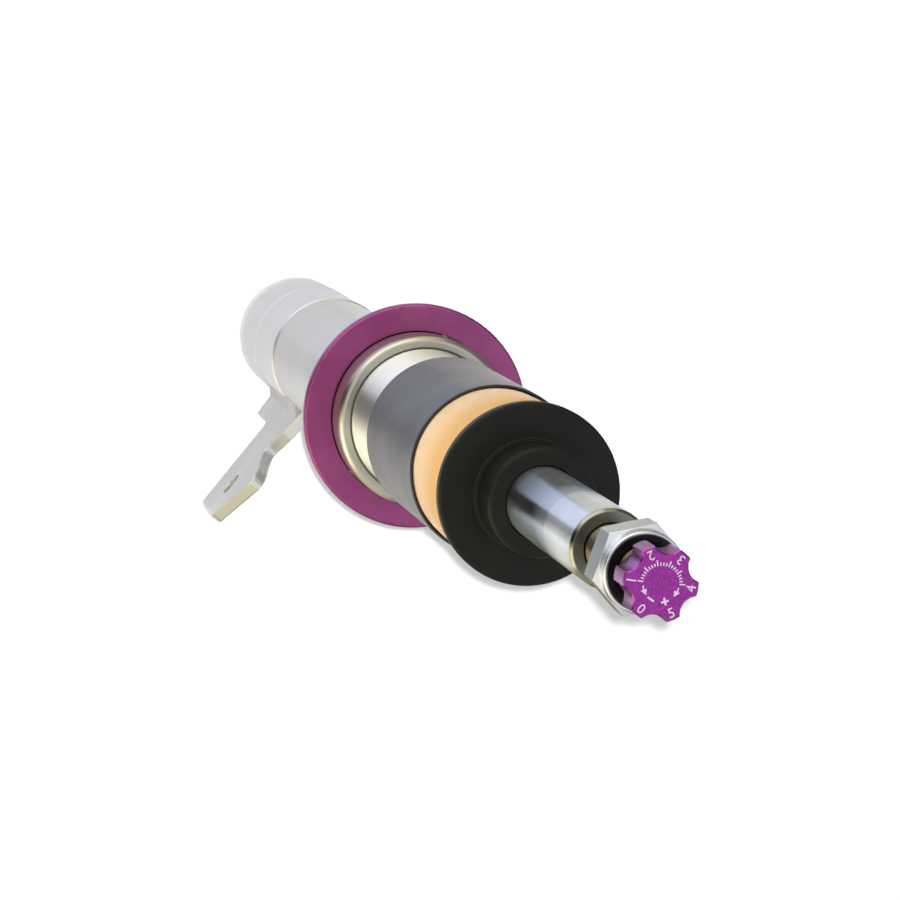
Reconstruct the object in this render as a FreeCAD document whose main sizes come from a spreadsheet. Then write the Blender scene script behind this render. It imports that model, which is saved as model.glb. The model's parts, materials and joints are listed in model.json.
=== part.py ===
import FreeCAD, Part
import math
import operator
import os

import Sketcher

# Clamp-type front strut damper with an adjustable spring seat.
# Origin on the strut axis at the middle of the clamped foot, +Z towards the rod, +X towards the link
# bracket. Lengths in millimetres; levels are heights above the origin.

doc = FreeCAD.newDocument("Coilover")
sheet = doc.addObject("Spreadsheet::Sheet", "sizes")


class Size:
    """A length, angle or count together with the sheet expression that drives it."""

    def __init__(self, value, text):
        self.value = value
        self.text = text

    def joined(self, other, sign, work):
        other = sized(other)
        return Size(work(self.value, other.value), "(%s %s %s)" % (self.text, sign, other.text))

    def __add__(self, other):
        return self.joined(other, "+", operator.add)

    def __sub__(self, other):
        return self.joined(other, "-", operator.sub)

    def __mul__(self, other):
        return self.joined(other, "*", operator.mul)

    def __truediv__(self, other):
        return self.joined(other, "/", operator.truediv)


def sized(value):
    """Gives a plain number the form of a size."""
    return value if isinstance(value, Size) else Size(float(value), repr(value))


NONE = sized(0)

# Driving sizes: name, value, meaning
TABLE = [
    ("running_gap", 0.05, "radial gap of parts that slide or turn on each other"),
    ("loose_gap", 0.3, "gap between parts that pass without touching"),
    ("face_gap", 0.1, "gap between faces of parts that move apart"),
    ("cut_margin", 2, "how far cutters reach past the skin they open"),
    # Foot and tube
    ("tube_radius", 26.5, "outside of the damper tube"),
    ("tube_wall", 2.5, "wall of the damper tube"),
    ("tube_length", 380, "length of the damper tube"),
    ("spigot_step", 1, "step from the tube to its spigot in the foot sleeve"),
    ("foot_wall", 2, "wall of the clamped foot sleeve"),
    ("clamp_foot", -30, "level of the foot sleeve's lower edge"),
    ("clamp_zone", 61.5, "height of the calibrated clamp zone"),
    ("clamp_relief", 0.5, "how far the sleeve is relieved above the clamp zone"),
    ("clamp_edge_round", 1.5, "rounding of the lower edge"),
    ("clamp_top_bevel", 0.8, "bevel of the upper edge"),
    ("foot_height", 119, "height of the foot sleeve"),
    ("cap_inset", 1, "how far the base cap lies inside the foot sleeve"),
    ("cap_plate", 7, "thickness of the base cap"),
    ("cap_spigot", 3, "how far the base cap reaches into the tube"),
    # Threaded sleeve with its rounded collar, and the stop ring it stands on
    ("thread_foot", 239.5, "lower end of the threaded sleeve"),
    ("sleeve_length", 67.5, "length of the threaded sleeve"),
    ("sleeve_play", 0.05, "play of the threaded sleeve on the tube"),
    ("sleeve_wall", 4.45, "wall of the threaded sleeve at its crests"),
    ("thread_pitch", 2, "pitch of the sleeve thread"),
    ("thread_depth", 1.2, "depth of the sleeve thread"),
    ("thread_flank", 1.7, "width of one thread groove at the crest"),
    ("thread_start", 2, "plain length before and after the thread"),
    ("collar_step", 0.3, "how far the collar stands out over the thread"),
    ("collar_height", 14.6, "height of the rounded collar"),
    ("collar_round", 2.2, "rounding of the collar's outer edge"),
    ("mouth_step", 0.5, "how much wider the collar's counterbore is"),
    ("mouth_depth", 3, "depth of the counterbore"),
    ("mouth_bevel", 0.3, "bevel of the counterbore"),
    ("snap_thickness", 2, "stop ring, along the axis"),
    ("snap_groove_depth", 1.1, "depth of the stop ring groove"),
    ("snap_width", 3.6, "radial width of the stop ring"),
    ("snap_open_angle", 16, "opening of the stop ring, degrees"),
    # Spring seat and its rings
    ("seat_lift", 46.5, "flange above the threaded sleeve's lower end"),
    ("seat_thickness", 4, "thickness of the flange"),
    ("seat_width", 9.8, "radial width of the flange"),
    ("seat_round", 1, "rounding of the flange edge"),
    ("ring_wall", 4.7, "radial width of the adjuster ring"),
    ("ring_height", 16, "adjuster ring, along the axis"),
    ("lock_wall", 3.7, "radial width of the lock ring"),
    ("lock_height", 8, "lock ring, along the axis"),
    ("slot_width", 6, "width of a spanner slot"),
    ("slot_depth", 2.6, "depth of a spanner slot"),
    ("slot_count", 8, "number of spanner slots"),
    ("ring_bevel", 0.8, "bevel of the ring edges"),
    ("grub_radius", 2.5, "grub screw of the adjuster ring"),
    ("grub_length", 4, "length of that grub screw"),
    ("grub_socket", 1.25, "half width across flats of its socket"),
    ("grub_socket_depth", 2, "depth of its socket"),
    ("grub_angle", 22.5, "direction of the grub screw, degrees"),
    # Link bracket: each reach and rise is counted from the point before it
    ("plate_thickness", 5, "bracket plate"),
    ("plate_sink", 0.5, "how far the outline reaches under the spigot before it is fitted"),
    ("bracket_foot", 36, "lower root corner"),
    ("step_rise", 4.3, "from the root corner up to the step's lower corner"),
    ("step_out", 12.3, "lower root part, outwards from the foot sleeve"),
    ("step_height", 31.2, "outer edge of that part"),
    ("step_over", 2.7, "from the step outwards to the arm"),
    ("step_up", 2.5, "from the step up to the arm"),
    ("arm_out", 57.7, "tip of the arm, outwards from the foot sleeve"),
    ("tip_height", 38, "edge of the tip"),
    ("horn_back", 24.2, "from the tip back to the horn"),
    ("horn_rise", 22.5, "from the tip up to the horn"),
    ("side_back", 4, "from the horn to the notch side"),
    ("side_drop", 6.5, "from the horn to the notch side"),
    ("wall_back", 4.4, "along the notch side"),
    ("wall_drop", 11.5, "along the notch side"),
    ("notch_back", 4.2, "to the bottom of the notch"),
    ("notch_drop", 5.9, "to the bottom of the notch"),
    ("ridge_back", 10.1, "from the notch to the ridge at the root"),
    ("ridge_rise", 8.1, "from the notch to the ridge at the root"),
    ("root_rise", 4.1, "from the ridge to the upper root corner"),
    ("link_edge", 15.4, "link hole from the tip's edge"),
    ("link_rise", 26.6, "link hole above the arm's lower edge"),
    ("link_radius", 5.25, "link hole for a ten millimetre stud"),
    ("plate_corner", 3, "corner rounding of the plate"),
    ("step_corner", 1.2, "corner rounding of the step"),
    ("weld_leg", 2.4, "leg of the bracket welds"),
    ("weld_end", 1.5, "how far the welds stop short of the plate"),
    # Inner cylinder and foot valve
    ("cylinder_bore", 16, "bore radius of the inner cylinder"),
    ("cylinder_wall", 1.5, "wall of the inner cylinder"),
    ("press_inset", 0.05, "play of the spigots in the inner cylinder"),
    ("valve_flange_gap", 4, "oil gap round the foot valve's flange"),
    ("valve_flange_height", 8, "height of that flange"),
    ("valve_spigot_height", 8, "height of the foot valve's spigot"),
    ("valve_recess", 13, "radius of the recess under the foot valve"),
    ("valve_recess_depth", 3, "depth of that recess"),
    ("valve_port", 1.5, "port radius of the foot valve"),
    ("valve_port_ring", 9, "pitch radius of the ports"),
    ("port_count", 6, "number of ports"),
    ("shim_thickness", 0.3, "one valve shim"),
    ("shim_large", 13, "largest shim"),
    ("shim_step", 1.3, "radius step from shim to shim"),
    ("valve_bolt_radius", 3, "foot valve bolt"),
    ("valve_bolt_length", 12, "how far the bolt reaches into the foot valve"),
    ("valve_bolt_head", 5, "head radius of the bolt"),
    ("valve_bolt_head_height", 4, "head height of the bolt"),
    ("valve_bolt_socket", 2.3, "half width across flats of its socket"),
    ("valve_bolt_socket_depth", 2.4, "depth of that socket"),
    # Rod guide, seals and gland nut
    ("guide_spigot", 8, "how far the rod guide reaches into the inner cylinder"),
    ("guide_height", 27, "rod guide above that spigot"),
    ("guide_gap", 0.3, "gap of the rod guide round the rod"),
    ("guide_fit", 0.05, "play of guide and gland nut in the tube"),
    ("bush_wall", 1.45, "wall of the guide bush"),
    ("bush_lift", 5, "guide bush above the rod guide's lower face"),
    ("bush_length", 24, "length of the guide bush"),
    ("bush_bevel", 0.4, "bevel of the guide bush"),
    ("oring_drop", 13, "o-ring below the rod guide's upper face"),
    ("oring_section", 1, "section radius of the o-ring"),
    ("oring_side_gap", 0.2, "gap beside the o-ring in its groove"),
    ("seal_height", 6, "height of the rod seal"),
    ("seal_play", 0.1, "play of the rod seal in the tube"),
    ("seal_lip_lift", 3, "lip above the seal's lower face"),
    ("seal_lip_height", 1.2, "height of the sealing lip"),
    ("seal_mouth_step", 1.75, "widening below the lip"),
    ("seal_relief", 0.6, "relief above the lip"),
    ("gland_depth", 14, "how far the gland nut reaches into the tube"),
    ("gland_plate", 2.5, "thickness of the gland nut's flange"),
    ("gland_inset", 0.1, "how far that flange stays inside the tube's outside"),
    ("gland_gap", 0.4, "gap of the gland nut round the rod"),
    ("wiper_width", 4.95, "radial width of the wiper seal"),
    ("wiper_depth", 7, "depth of the wiper seal's seat"),
    ("wiper_inset", 0.5, "how far the wiper lip stays under the gland's face"),
    ("wiper_shelf_height", 4, "height of the wiper seal's outer part"),
    ("wiper_shelf_step", 1.75, "width of the lip at that height"),
    ("wiper_lip", 0.95, "width of the lip at its top"),
    ("spanner_hole", 2.5, "pin spanner hole of the gland nut"),
    ("spanner_offset", 4.5, "pitch radius of those holes outside the wiper seal"),
    ("spanner_depth", 6, "depth of those holes"),
    ("spanner_count", 4, "number of those holes"),
    # Bump stop and dust sleeve
    ("foam_length", 112.2, "length of the bump stop"),
    ("foam_gap", 0.4, "gap of the bump stop round the rod"),
    ("waist_depth", 3.8, "depth of a waist of the bump stop"),
    ("waist_lift", 20.5, "lower waist above the bump stop's lower end"),
    ("waist_pitch", 24, "from the lower to the upper waist"),
    ("waist_half", 7, "half height of a waist"),
    ("foam_round", 5, "rounding of its upper edge"),
    ("dust_overlap", 10, "how far the dust sleeve reaches over the tube"),
    ("dust_length", 80, "length of the dust sleeve"),
    ("dust_foot_wall", 1.2, "wall of the dust sleeve at its lower end"),
    ("dust_top_wall", 0.7, "wall at its upper end"),
    ("dust_edge", 0.25, "bevel of its upper edge"),
    # Piston rod and what it carries
    ("rod_radius", 11, "piston rod"),
    ("rod_head", 47, "free rod from the bump plate to the upper shoulder"),
    ("rod_tail", 34, "rod from the rebound stop ring to the lower shoulder"),
    ("piston_spigot", 6, "radius of the piston spigot"),
    ("spigot_tail", 7.6, "spigot below the piston nut"),
    ("stud_radius", 7, "upper stud, fourteen millimetre thread"),
    ("stud_end", 4, "stud above the top lock nut"),
    ("stud_bevel", 0.6, "bevel of the stud end"),
    ("stud_pitch", 1.5, "pitch of the stud thread"),
    ("stud_depth", 0.8, "depth of the stud thread"),
    ("stud_flank", 1.3, "width of one thread groove"),
    ("stud_plain", 1.5, "plain stud between spacer bush and thread"),
    ("rod_bore", 3.5, "bore of the rod for the adjuster"),
    ("rod_port", 2, "bore radius below the needle seat"),
    ("needle_seat", 20, "needle seat above the spigot's lower end"),
    ("cross_port", 1.5, "cross hole radius"),
    ("cross_port_lift", 6, "cross hole above the rod's lower shoulder"),
    ("detent_half", 0.95, "half width of the detent groove"),
    ("detent_depth", 0.45, "depth of the detent groove"),
    ("spacer_length", 31, "length of the spacer bush"),
    ("spacer_bevel", 0.8, "bevel of its front edge"),
    ("plate_height", 5, "bump plate disk"),
    ("plate_overhang", 1.5, "how far the disk stands out over the bump stop"),
    ("plate_round", 1, "rounding of the disk edge"),
    ("boss_wall", 5.5, "wall of the bump plate's boss"),
    ("boss_height", 17, "height of the boss"),
    ("boss_round", 1.2, "rounding of the boss"),
    ("boss_lip", 0.7, "small lip at the foot of the boss"),
    ("boss_lip_height", 0.9, "height of that lip"),
    ("boss_mouth", 0.6, "bevel of the boss bore"),
    ("mount_space", 21, "room for the top mount between spacer bush and nut"),
    ("nut_flats", 22, "top lock nut across flats"),
    ("nut_hex_height", 9.5, "height of its hexagon"),
    ("nut_collar_height", 4.5, "height of its round collar"),
    ("nut_collar_inset", 0.2, "collar inside the flats"),
    ("nut_collar_wall", 1.2, "wall of the collar"),
    ("nut_collar_round", 0.5, "rounding of the collar"),
    ("nut_bevel_rise", 0.9, "bevel of the hexagon's corners, along the axis"),
    ("nut_bevel_out", 1.1, "how far the bevel cutter reaches past the corners"),
    ("nut_angle", 20, "how the nut stands, degrees"),
    ("insert_sink", 0.3, "how deep the locking insert sits in the hexagon"),
    ("insert_height", 4.3, "height of the locking insert"),
    ("insert_round", 0.5, "rounding of the insert"),
    ("droop_gap", 0.5, "rebound bumper to rod guide at full droop"),
    ("bumper_height", 13.5, "height of the rebound bumper"),
    ("bumper_gap", 0.6, "gap of the rebound bumper in the cylinder"),
    ("bumper_round", 2, "rounding of the rebound bumper"),
    ("stop_ring_height", 5, "height of the rebound stop ring"),
    ("stop_ring_gap", 1, "gap of the rebound stop ring in the cylinder"),
    ("piston_height", 18, "height of the piston"),
    ("piston_gap", 0.3, "gap of the piston in the cylinder"),
    ("piston_port", 1.5, "port radius of the piston"),
    ("piston_port_ring", 10, "pitch radius of the ports"),
    ("band_lift", 3.2, "piston band groove above the piston's lower face"),
    ("band_height", 11, "height of that groove"),
    ("band_wall", 0.85, "thickness of the piston band"),
    ("piston_shim_count", 4, "shims on each side of the piston"),
    ("valve_shim_count", 3, "shims of the foot valve"),
    ("piston_shim_large", 12.6, "largest piston shim"),
    ("piston_nut_flats", 18, "piston nut across flats"),
    ("piston_nut_height", 10, "height of the piston nut"),
    # Adjuster
    ("dial_lift", 2, "dial above the stud end"),
    ("dial_height", 9, "height of the dial"),
    ("dial_radius", 9.75, "outside of the dial lobes"),
    ("dial_bevel", 0.3, "edge bevel of the dial's face"),
    ("scallop_radius", 4.35, "radius of a finger scallop"),
    ("scallop_offset", 2.35, "scallop centre outside the lobes"),
    ("lobe_count", 6, "lobes and scallops of the dial"),
    ("hub_wall", 1.05, "wall of the hub under the dial"),
    ("dial_cover", 4, "dial above the adjuster shaft's end"),
    ("shaft_length", 47, "length of the adjuster shaft"),
    ("shaft_thread", 2.3, "thread bore of the adjuster shaft"),
    ("shaft_thread_depth", 22, "depth of that bore"),
    ("needle_stem_gap", 6, "from the needle's shoulder to the adjuster shaft"),
    ("needle_screw_length", 15, "how far the needle reaches into the shaft"),
    ("needle_lift", 1.5, "needle shoulder above its seat"),
    ("needle_cone_length", 5, "length of the needle's cone"),
    ("needle_tip_radius", 0.6, "radius of the tip"),
    ("ball_radius", 1.5, "detent ball"),
    ("ball_sink", 0.15, "how deep the ball dips into the detent groove"),
    ("ball_angle", 120, "direction of the detent ball, degrees"),
    ("pocket_gap", 0.05, "play of the ball in its pocket"),
    ("pocket_cover", 2.8, "dial above the ball pocket"),
    ("coil_wire", 0.2, "wire radius of the detent spring"),
    ("coil_radius", 1.15, "mean radius of the detent spring"),
    ("coil_turns", 5, "turns of the detent spring"),
    ("screw_radius", 1.5, "dial screw"),
    ("screw_length", 3.6, "length of the dial screw"),
    ("screw_lift", 3, "dial screw above the dial's lower face"),
    ("screw_angle", 30, "direction of the dial screw, degrees"),
    ("screw_socket", 0.75, "half width across flats of its socket"),
    ("screw_socket_depth", 1.5, "depth of its socket"),
]


class Sizes:
    """Holds every size under its own name."""


dim = Sizes()
for row, (name, value, meaning) in enumerate(TABLE, start=1):
    sheet.set("A%d" % row, name)
    sheet.set("B%d" % row, repr(value))
    sheet.set("C%d" % row, meaning)
    sheet.setAlias("B%d" % row, name)
    setattr(dim, name, Size(float(value), "sizes.%s" % name))
doc.recompute()

HEXAGON_SIDES = 6
FULL_TURN = sized(360)
MATCH = 1e-4

# Radii that follow from the driving sizes, from the tube outwards and inwards
dim.tube_bore = dim.tube_radius - dim.tube_wall
dim.spigot_radius = dim.tube_radius - dim.spigot_step
dim.clamp_radius = dim.spigot_radius + dim.foot_wall
dim.foot_radius = dim.clamp_radius - dim.clamp_relief
dim.thread_bore = dim.tube_radius + dim.sleeve_play
dim.thread_radius = dim.thread_bore + dim.sleeve_wall
dim.collar_radius = dim.thread_radius + dim.collar_step
dim.collar_mouth = dim.thread_bore + dim.mouth_step
dim.snap_groove_radius = dim.tube_radius - dim.snap_groove_depth
dim.snap_outer = dim.snap_groove_radius + dim.snap_width
dim.snap_turn = FULL_TURN - dim.snap_open_angle
dim.seat_bore = dim.collar_radius + dim.loose_gap
dim.seat_radius = dim.seat_bore + dim.seat_width
dim.ring_bore = dim.thread_radius + dim.loose_gap
dim.ring_radius = dim.ring_bore + dim.ring_wall
dim.lock_radius = dim.ring_bore + dim.lock_wall
dim.cylinder_radius = dim.cylinder_bore + dim.cylinder_wall
dim.cylinder_fit = dim.cylinder_bore - dim.press_inset
dim.valve_flange = dim.tube_bore - dim.valve_flange_gap
dim.rod_fit = dim.rod_radius + dim.running_gap
dim.guide_bore = dim.rod_radius + dim.guide_gap
dim.guide_skin = dim.tube_bore - dim.guide_fit
dim.bush_radius = dim.rod_fit + dim.bush_wall
dim.oring_ring = dim.tube_bore - dim.oring_section
dim.oring_bottom = dim.oring_ring - dim.oring_section
dim.oring_groove = dim.oring_section + dim.oring_side_gap
dim.seal_skin = dim.tube_bore - dim.seal_play
dim.gland_bore = dim.rod_radius + dim.gland_gap
dim.gland_flange = dim.tube_radius - dim.gland_inset
dim.wiper_radius = dim.rod_fit + dim.wiper_width
dim.spanner_ring = dim.wiper_radius + dim.spanner_offset
dim.foam_radius = dim.gland_flange
dim.foam_bore = dim.rod_radius + dim.foam_gap
dim.foam_waist = dim.foam_radius - dim.waist_depth
dim.dust_bore = dim.tube_radius + dim.loose_gap
dim.dust_foot_radius = dim.dust_bore + dim.dust_foot_wall
dim.dust_top_radius = dim.dust_bore + dim.dust_top_wall
dim.plate_radius = dim.foam_radius + dim.plate_overhang
dim.boss_radius = dim.rod_radius + dim.boss_wall
dim.boss_lip_radius = dim.boss_radius + dim.boss_lip
dim.spacer_bore = dim.stud_radius + dim.loose_gap
dim.nut_collar = dim.nut_flats / 2 - dim.nut_collar_inset
dim.nut_collar_bore = dim.nut_collar - dim.nut_collar_wall
dim.stop_ring_radius = dim.cylinder_bore - dim.stop_ring_gap
dim.bumper_radius = dim.cylinder_bore - dim.bumper_gap
dim.piston_radius = dim.cylinder_bore - dim.piston_gap
dim.band_radius = dim.cylinder_bore - dim.running_gap
dim.band_inner = dim.band_radius - dim.band_wall
dim.shaft_radius = dim.rod_bore - dim.running_gap
dim.hub_radius = dim.shaft_radius + dim.hub_wall
dim.detent_ring = (dim.rod_bore + dim.stud_radius) / 2
dim.scallop_ring = dim.dial_radius + dim.scallop_offset
dim.half_lobe = FULL_TURN / dim.lobe_count / 2
dim.needle_radius = dim.rod_bore - dim.loose_gap
dim.needle_cone = dim.rod_port - dim.loose_gap
dim.needle_screw = dim.shaft_thread - dim.loose_gap

# Levels that follow from the driving sizes: foot, tube and upper end
dim.clamp_zone_top = dim.clamp_foot + dim.clamp_zone
dim.shoulder_level = dim.clamp_foot + dim.foot_height
dim.cap_foot = dim.clamp_foot + dim.cap_inset
dim.tube_foot = dim.cap_foot + dim.cap_plate
dim.cap_top = dim.tube_foot + dim.cap_spigot
dim.tube_top = dim.tube_foot + dim.tube_length
dim.cylinder_foot = dim.cap_top + dim.valve_flange_height
dim.valve_spigot_top = dim.cylinder_foot + dim.valve_spigot_height
dim.seal_foot = dim.tube_top - dim.gland_depth - dim.seal_height
dim.seal_top = dim.tube_top - dim.gland_depth
dim.cylinder_top = dim.seal_foot - dim.guide_height
dim.guide_foot = dim.cylinder_top - dim.guide_spigot
dim.bush_foot = dim.guide_foot + dim.bush_lift
dim.bush_top = dim.bush_foot + dim.bush_length
dim.oring_level = dim.seal_foot - dim.oring_drop
dim.seal_lip_level = dim.seal_foot + dim.seal_lip_lift
dim.gland_top = dim.tube_top + dim.gland_plate
dim.wiper_foot = dim.gland_top - dim.wiper_depth
dim.wiper_shelf = dim.wiper_foot + dim.wiper_shelf_height
dim.wiper_top = dim.gland_top - dim.wiper_inset

# Levels on the threaded sleeve
dim.collar_top = dim.thread_foot + dim.sleeve_length
dim.collar_foot = dim.collar_top - dim.collar_height
dim.mouth_foot = dim.collar_top - dim.mouth_depth
dim.snap_foot = dim.thread_foot - dim.snap_thickness
dim.seat_foot = dim.thread_foot + dim.seat_lift
dim.seat_top = dim.seat_foot + dim.seat_thickness
dim.ring_top = dim.seat_foot - dim.face_gap
dim.ring_foot = dim.ring_top - dim.ring_height
dim.lock_top = dim.ring_foot - dim.face_gap
dim.lock_foot = dim.lock_top - dim.lock_height

# Points of the link bracket
dim.plate_inset = dim.spigot_radius - dim.plate_sink
dim.step_reach = dim.clamp_radius + dim.step_out
dim.step_low = dim.bracket_foot + dim.step_rise
dim.step_high = dim.step_low + dim.step_height
dim.arm_start = dim.step_reach + dim.step_over
dim.arm_low = dim.step_high + dim.step_up
dim.arm_reach = dim.clamp_radius + dim.arm_out
dim.arm_high = dim.arm_low + dim.tip_height
dim.horn_reach = dim.arm_reach - dim.horn_back
dim.horn_level = dim.arm_high + dim.horn_rise
dim.side_reach = dim.horn_reach - dim.side_back
dim.side_level = dim.horn_level - dim.side_drop
dim.wall_reach = dim.side_reach - dim.wall_back
dim.wall_level = dim.side_level - dim.wall_drop
dim.notch_reach = dim.wall_reach - dim.notch_back
dim.notch_level = dim.wall_level - dim.notch_drop
dim.ridge_reach = dim.notch_reach - dim.ridge_back
dim.ridge_level = dim.notch_level + dim.ridge_rise
dim.root_level = dim.ridge_level + dim.root_rise
dim.link_reach = dim.arm_reach - dim.link_edge
dim.link_level = dim.arm_low + dim.link_rise

# Levels of bump stop, dust sleeve and the rod's upper end
dim.foam_top = dim.gland_top + dim.foam_length
dim.waist_low = dim.gland_top + dim.waist_lift
dim.waist_high = dim.waist_low + dim.waist_pitch
dim.dust_foot = dim.tube_top - dim.dust_overlap
dim.dust_top = dim.dust_foot + dim.dust_length
dim.plate_foot = dim.foam_top + dim.loose_gap
dim.plate_top = dim.plate_foot + dim.plate_height
dim.boss_top = dim.plate_top + dim.boss_height
dim.rod_shoulder = dim.boss_top + dim.rod_head
dim.spacer_top = dim.rod_shoulder + dim.spacer_length
dim.nut_foot = dim.spacer_top + dim.mount_space
dim.hex_top = dim.nut_foot + dim.nut_hex_height
dim.nut_top = dim.hex_top + dim.nut_collar_height
dim.insert_foot = dim.hex_top - dim.insert_sink
dim.insert_top = dim.insert_foot + dim.insert_height
dim.stud_top = dim.nut_top + dim.stud_end
dim.stud_thread_foot = dim.spacer_top + dim.stud_plain

# Levels of the rod's lower end
dim.bumper_top = dim.guide_foot - dim.droop_gap
dim.stop_ring_top = dim.bumper_top - dim.bumper_height
dim.stop_ring_foot = dim.stop_ring_top - dim.stop_ring_height
dim.rod_foot = dim.stop_ring_foot - dim.rod_tail
dim.piston_top = dim.rod_foot - dim.shim_thickness * dim.piston_shim_count
dim.piston_foot = dim.piston_top - dim.piston_height
dim.band_foot = dim.piston_foot + dim.band_lift
dim.band_top = dim.band_foot + dim.band_height
dim.piston_nut_top = dim.piston_foot - dim.shim_thickness * dim.piston_shim_count
dim.piston_nut_foot = dim.piston_nut_top - dim.piston_nut_height
dim.spigot_foot = dim.piston_nut_foot - dim.spigot_tail
dim.rod_bore_foot = dim.spigot_foot + dim.needle_seat
dim.cross_port_level = dim.rod_foot + dim.cross_port_lift

# Levels of the adjuster
dim.dial_foot = dim.stud_top + dim.dial_lift
dim.dial_top = dim.dial_foot + dim.dial_height
dim.shaft_top = dim.dial_top - dim.dial_cover
dim.shaft_foot = dim.shaft_top - dim.shaft_length
dim.needle_stem_top = dim.shaft_foot - dim.needle_stem_gap
dim.needle_screw_top = dim.shaft_foot + dim.needle_screw_length
dim.needle_foot = dim.rod_bore_foot + dim.needle_lift
dim.needle_tip = dim.needle_foot - dim.needle_cone_length
dim.ball_level = dim.stud_top + dim.ball_radius - dim.ball_sink
dim.pocket_top = dim.dial_top - dim.pocket_cover
dim.screw_level = dim.dial_foot + dim.screw_lift


def copies(room, pitch, flank):
    """Counts how many grooves of a pitch fit into a length."""
    exact = (room + pitch - flank) / pitch
    return Size(math.floor(exact.value + MATCH), "floor(%s)" % exact.text)


dim.thread_count = copies(dim.collar_foot - dim.thread_foot - dim.thread_start * 2, dim.thread_pitch,
                          dim.thread_flank)
dim.stud_thread_count = copies(dim.stud_top - dim.stud_thread_foot - dim.stud_bevel, dim.stud_pitch,
                               dim.stud_flank)

CORNER = sized(2) / Size(math.sqrt(3), "sqrt(3)")


def tie(sketch, shape, point, across, up):
    """Ties a sketch point to its distance across and up from the sketch origin."""
    for kind, axis, length in (("DistanceX", -2, across), ("DistanceY", -1, up)):
        if abs(length.value) < MATCH:
            sketch.addConstraint(Sketcher.Constraint("PointOnObject", shape, point, axis))
        else:
            place = sketch.addConstraint(Sketcher.Constraint(kind, -1, 1, shape, point, length.value))
            sketch.setExpression("Constraints[%d]" % place, length.text)


def at_angle(radius, angle):
    """Gives the two horizontal sizes of a point at a radius and a direction."""
    value = math.radians(angle.value)
    return (radius * Size(math.cos(value), "cos(%s)" % angle.text),
            radius * Size(math.sin(value), "sin(%s)" % angle.text))


def place(item, x=None, y=None, z=None):
    """Ties an object's position to its sizes."""
    for axis, length in (("x", x), ("y", y), ("z", z)):
        if length is not None:
            item.setExpression(".Placement.Base.%s" % axis, length.text)


def lay_along(item, angle):
    """Lays an object's own Z direction along a radius of the strut."""
    item.Placement = FreeCAD.Placement(
        FreeCAD.Vector(0, 0, 0),
        FreeCAD.Rotation(FreeCAD.Vector(0, 0, 1), angle.value)
        * FreeCAD.Rotation(FreeCAD.Vector(0, 1, 0), 90))


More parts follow.
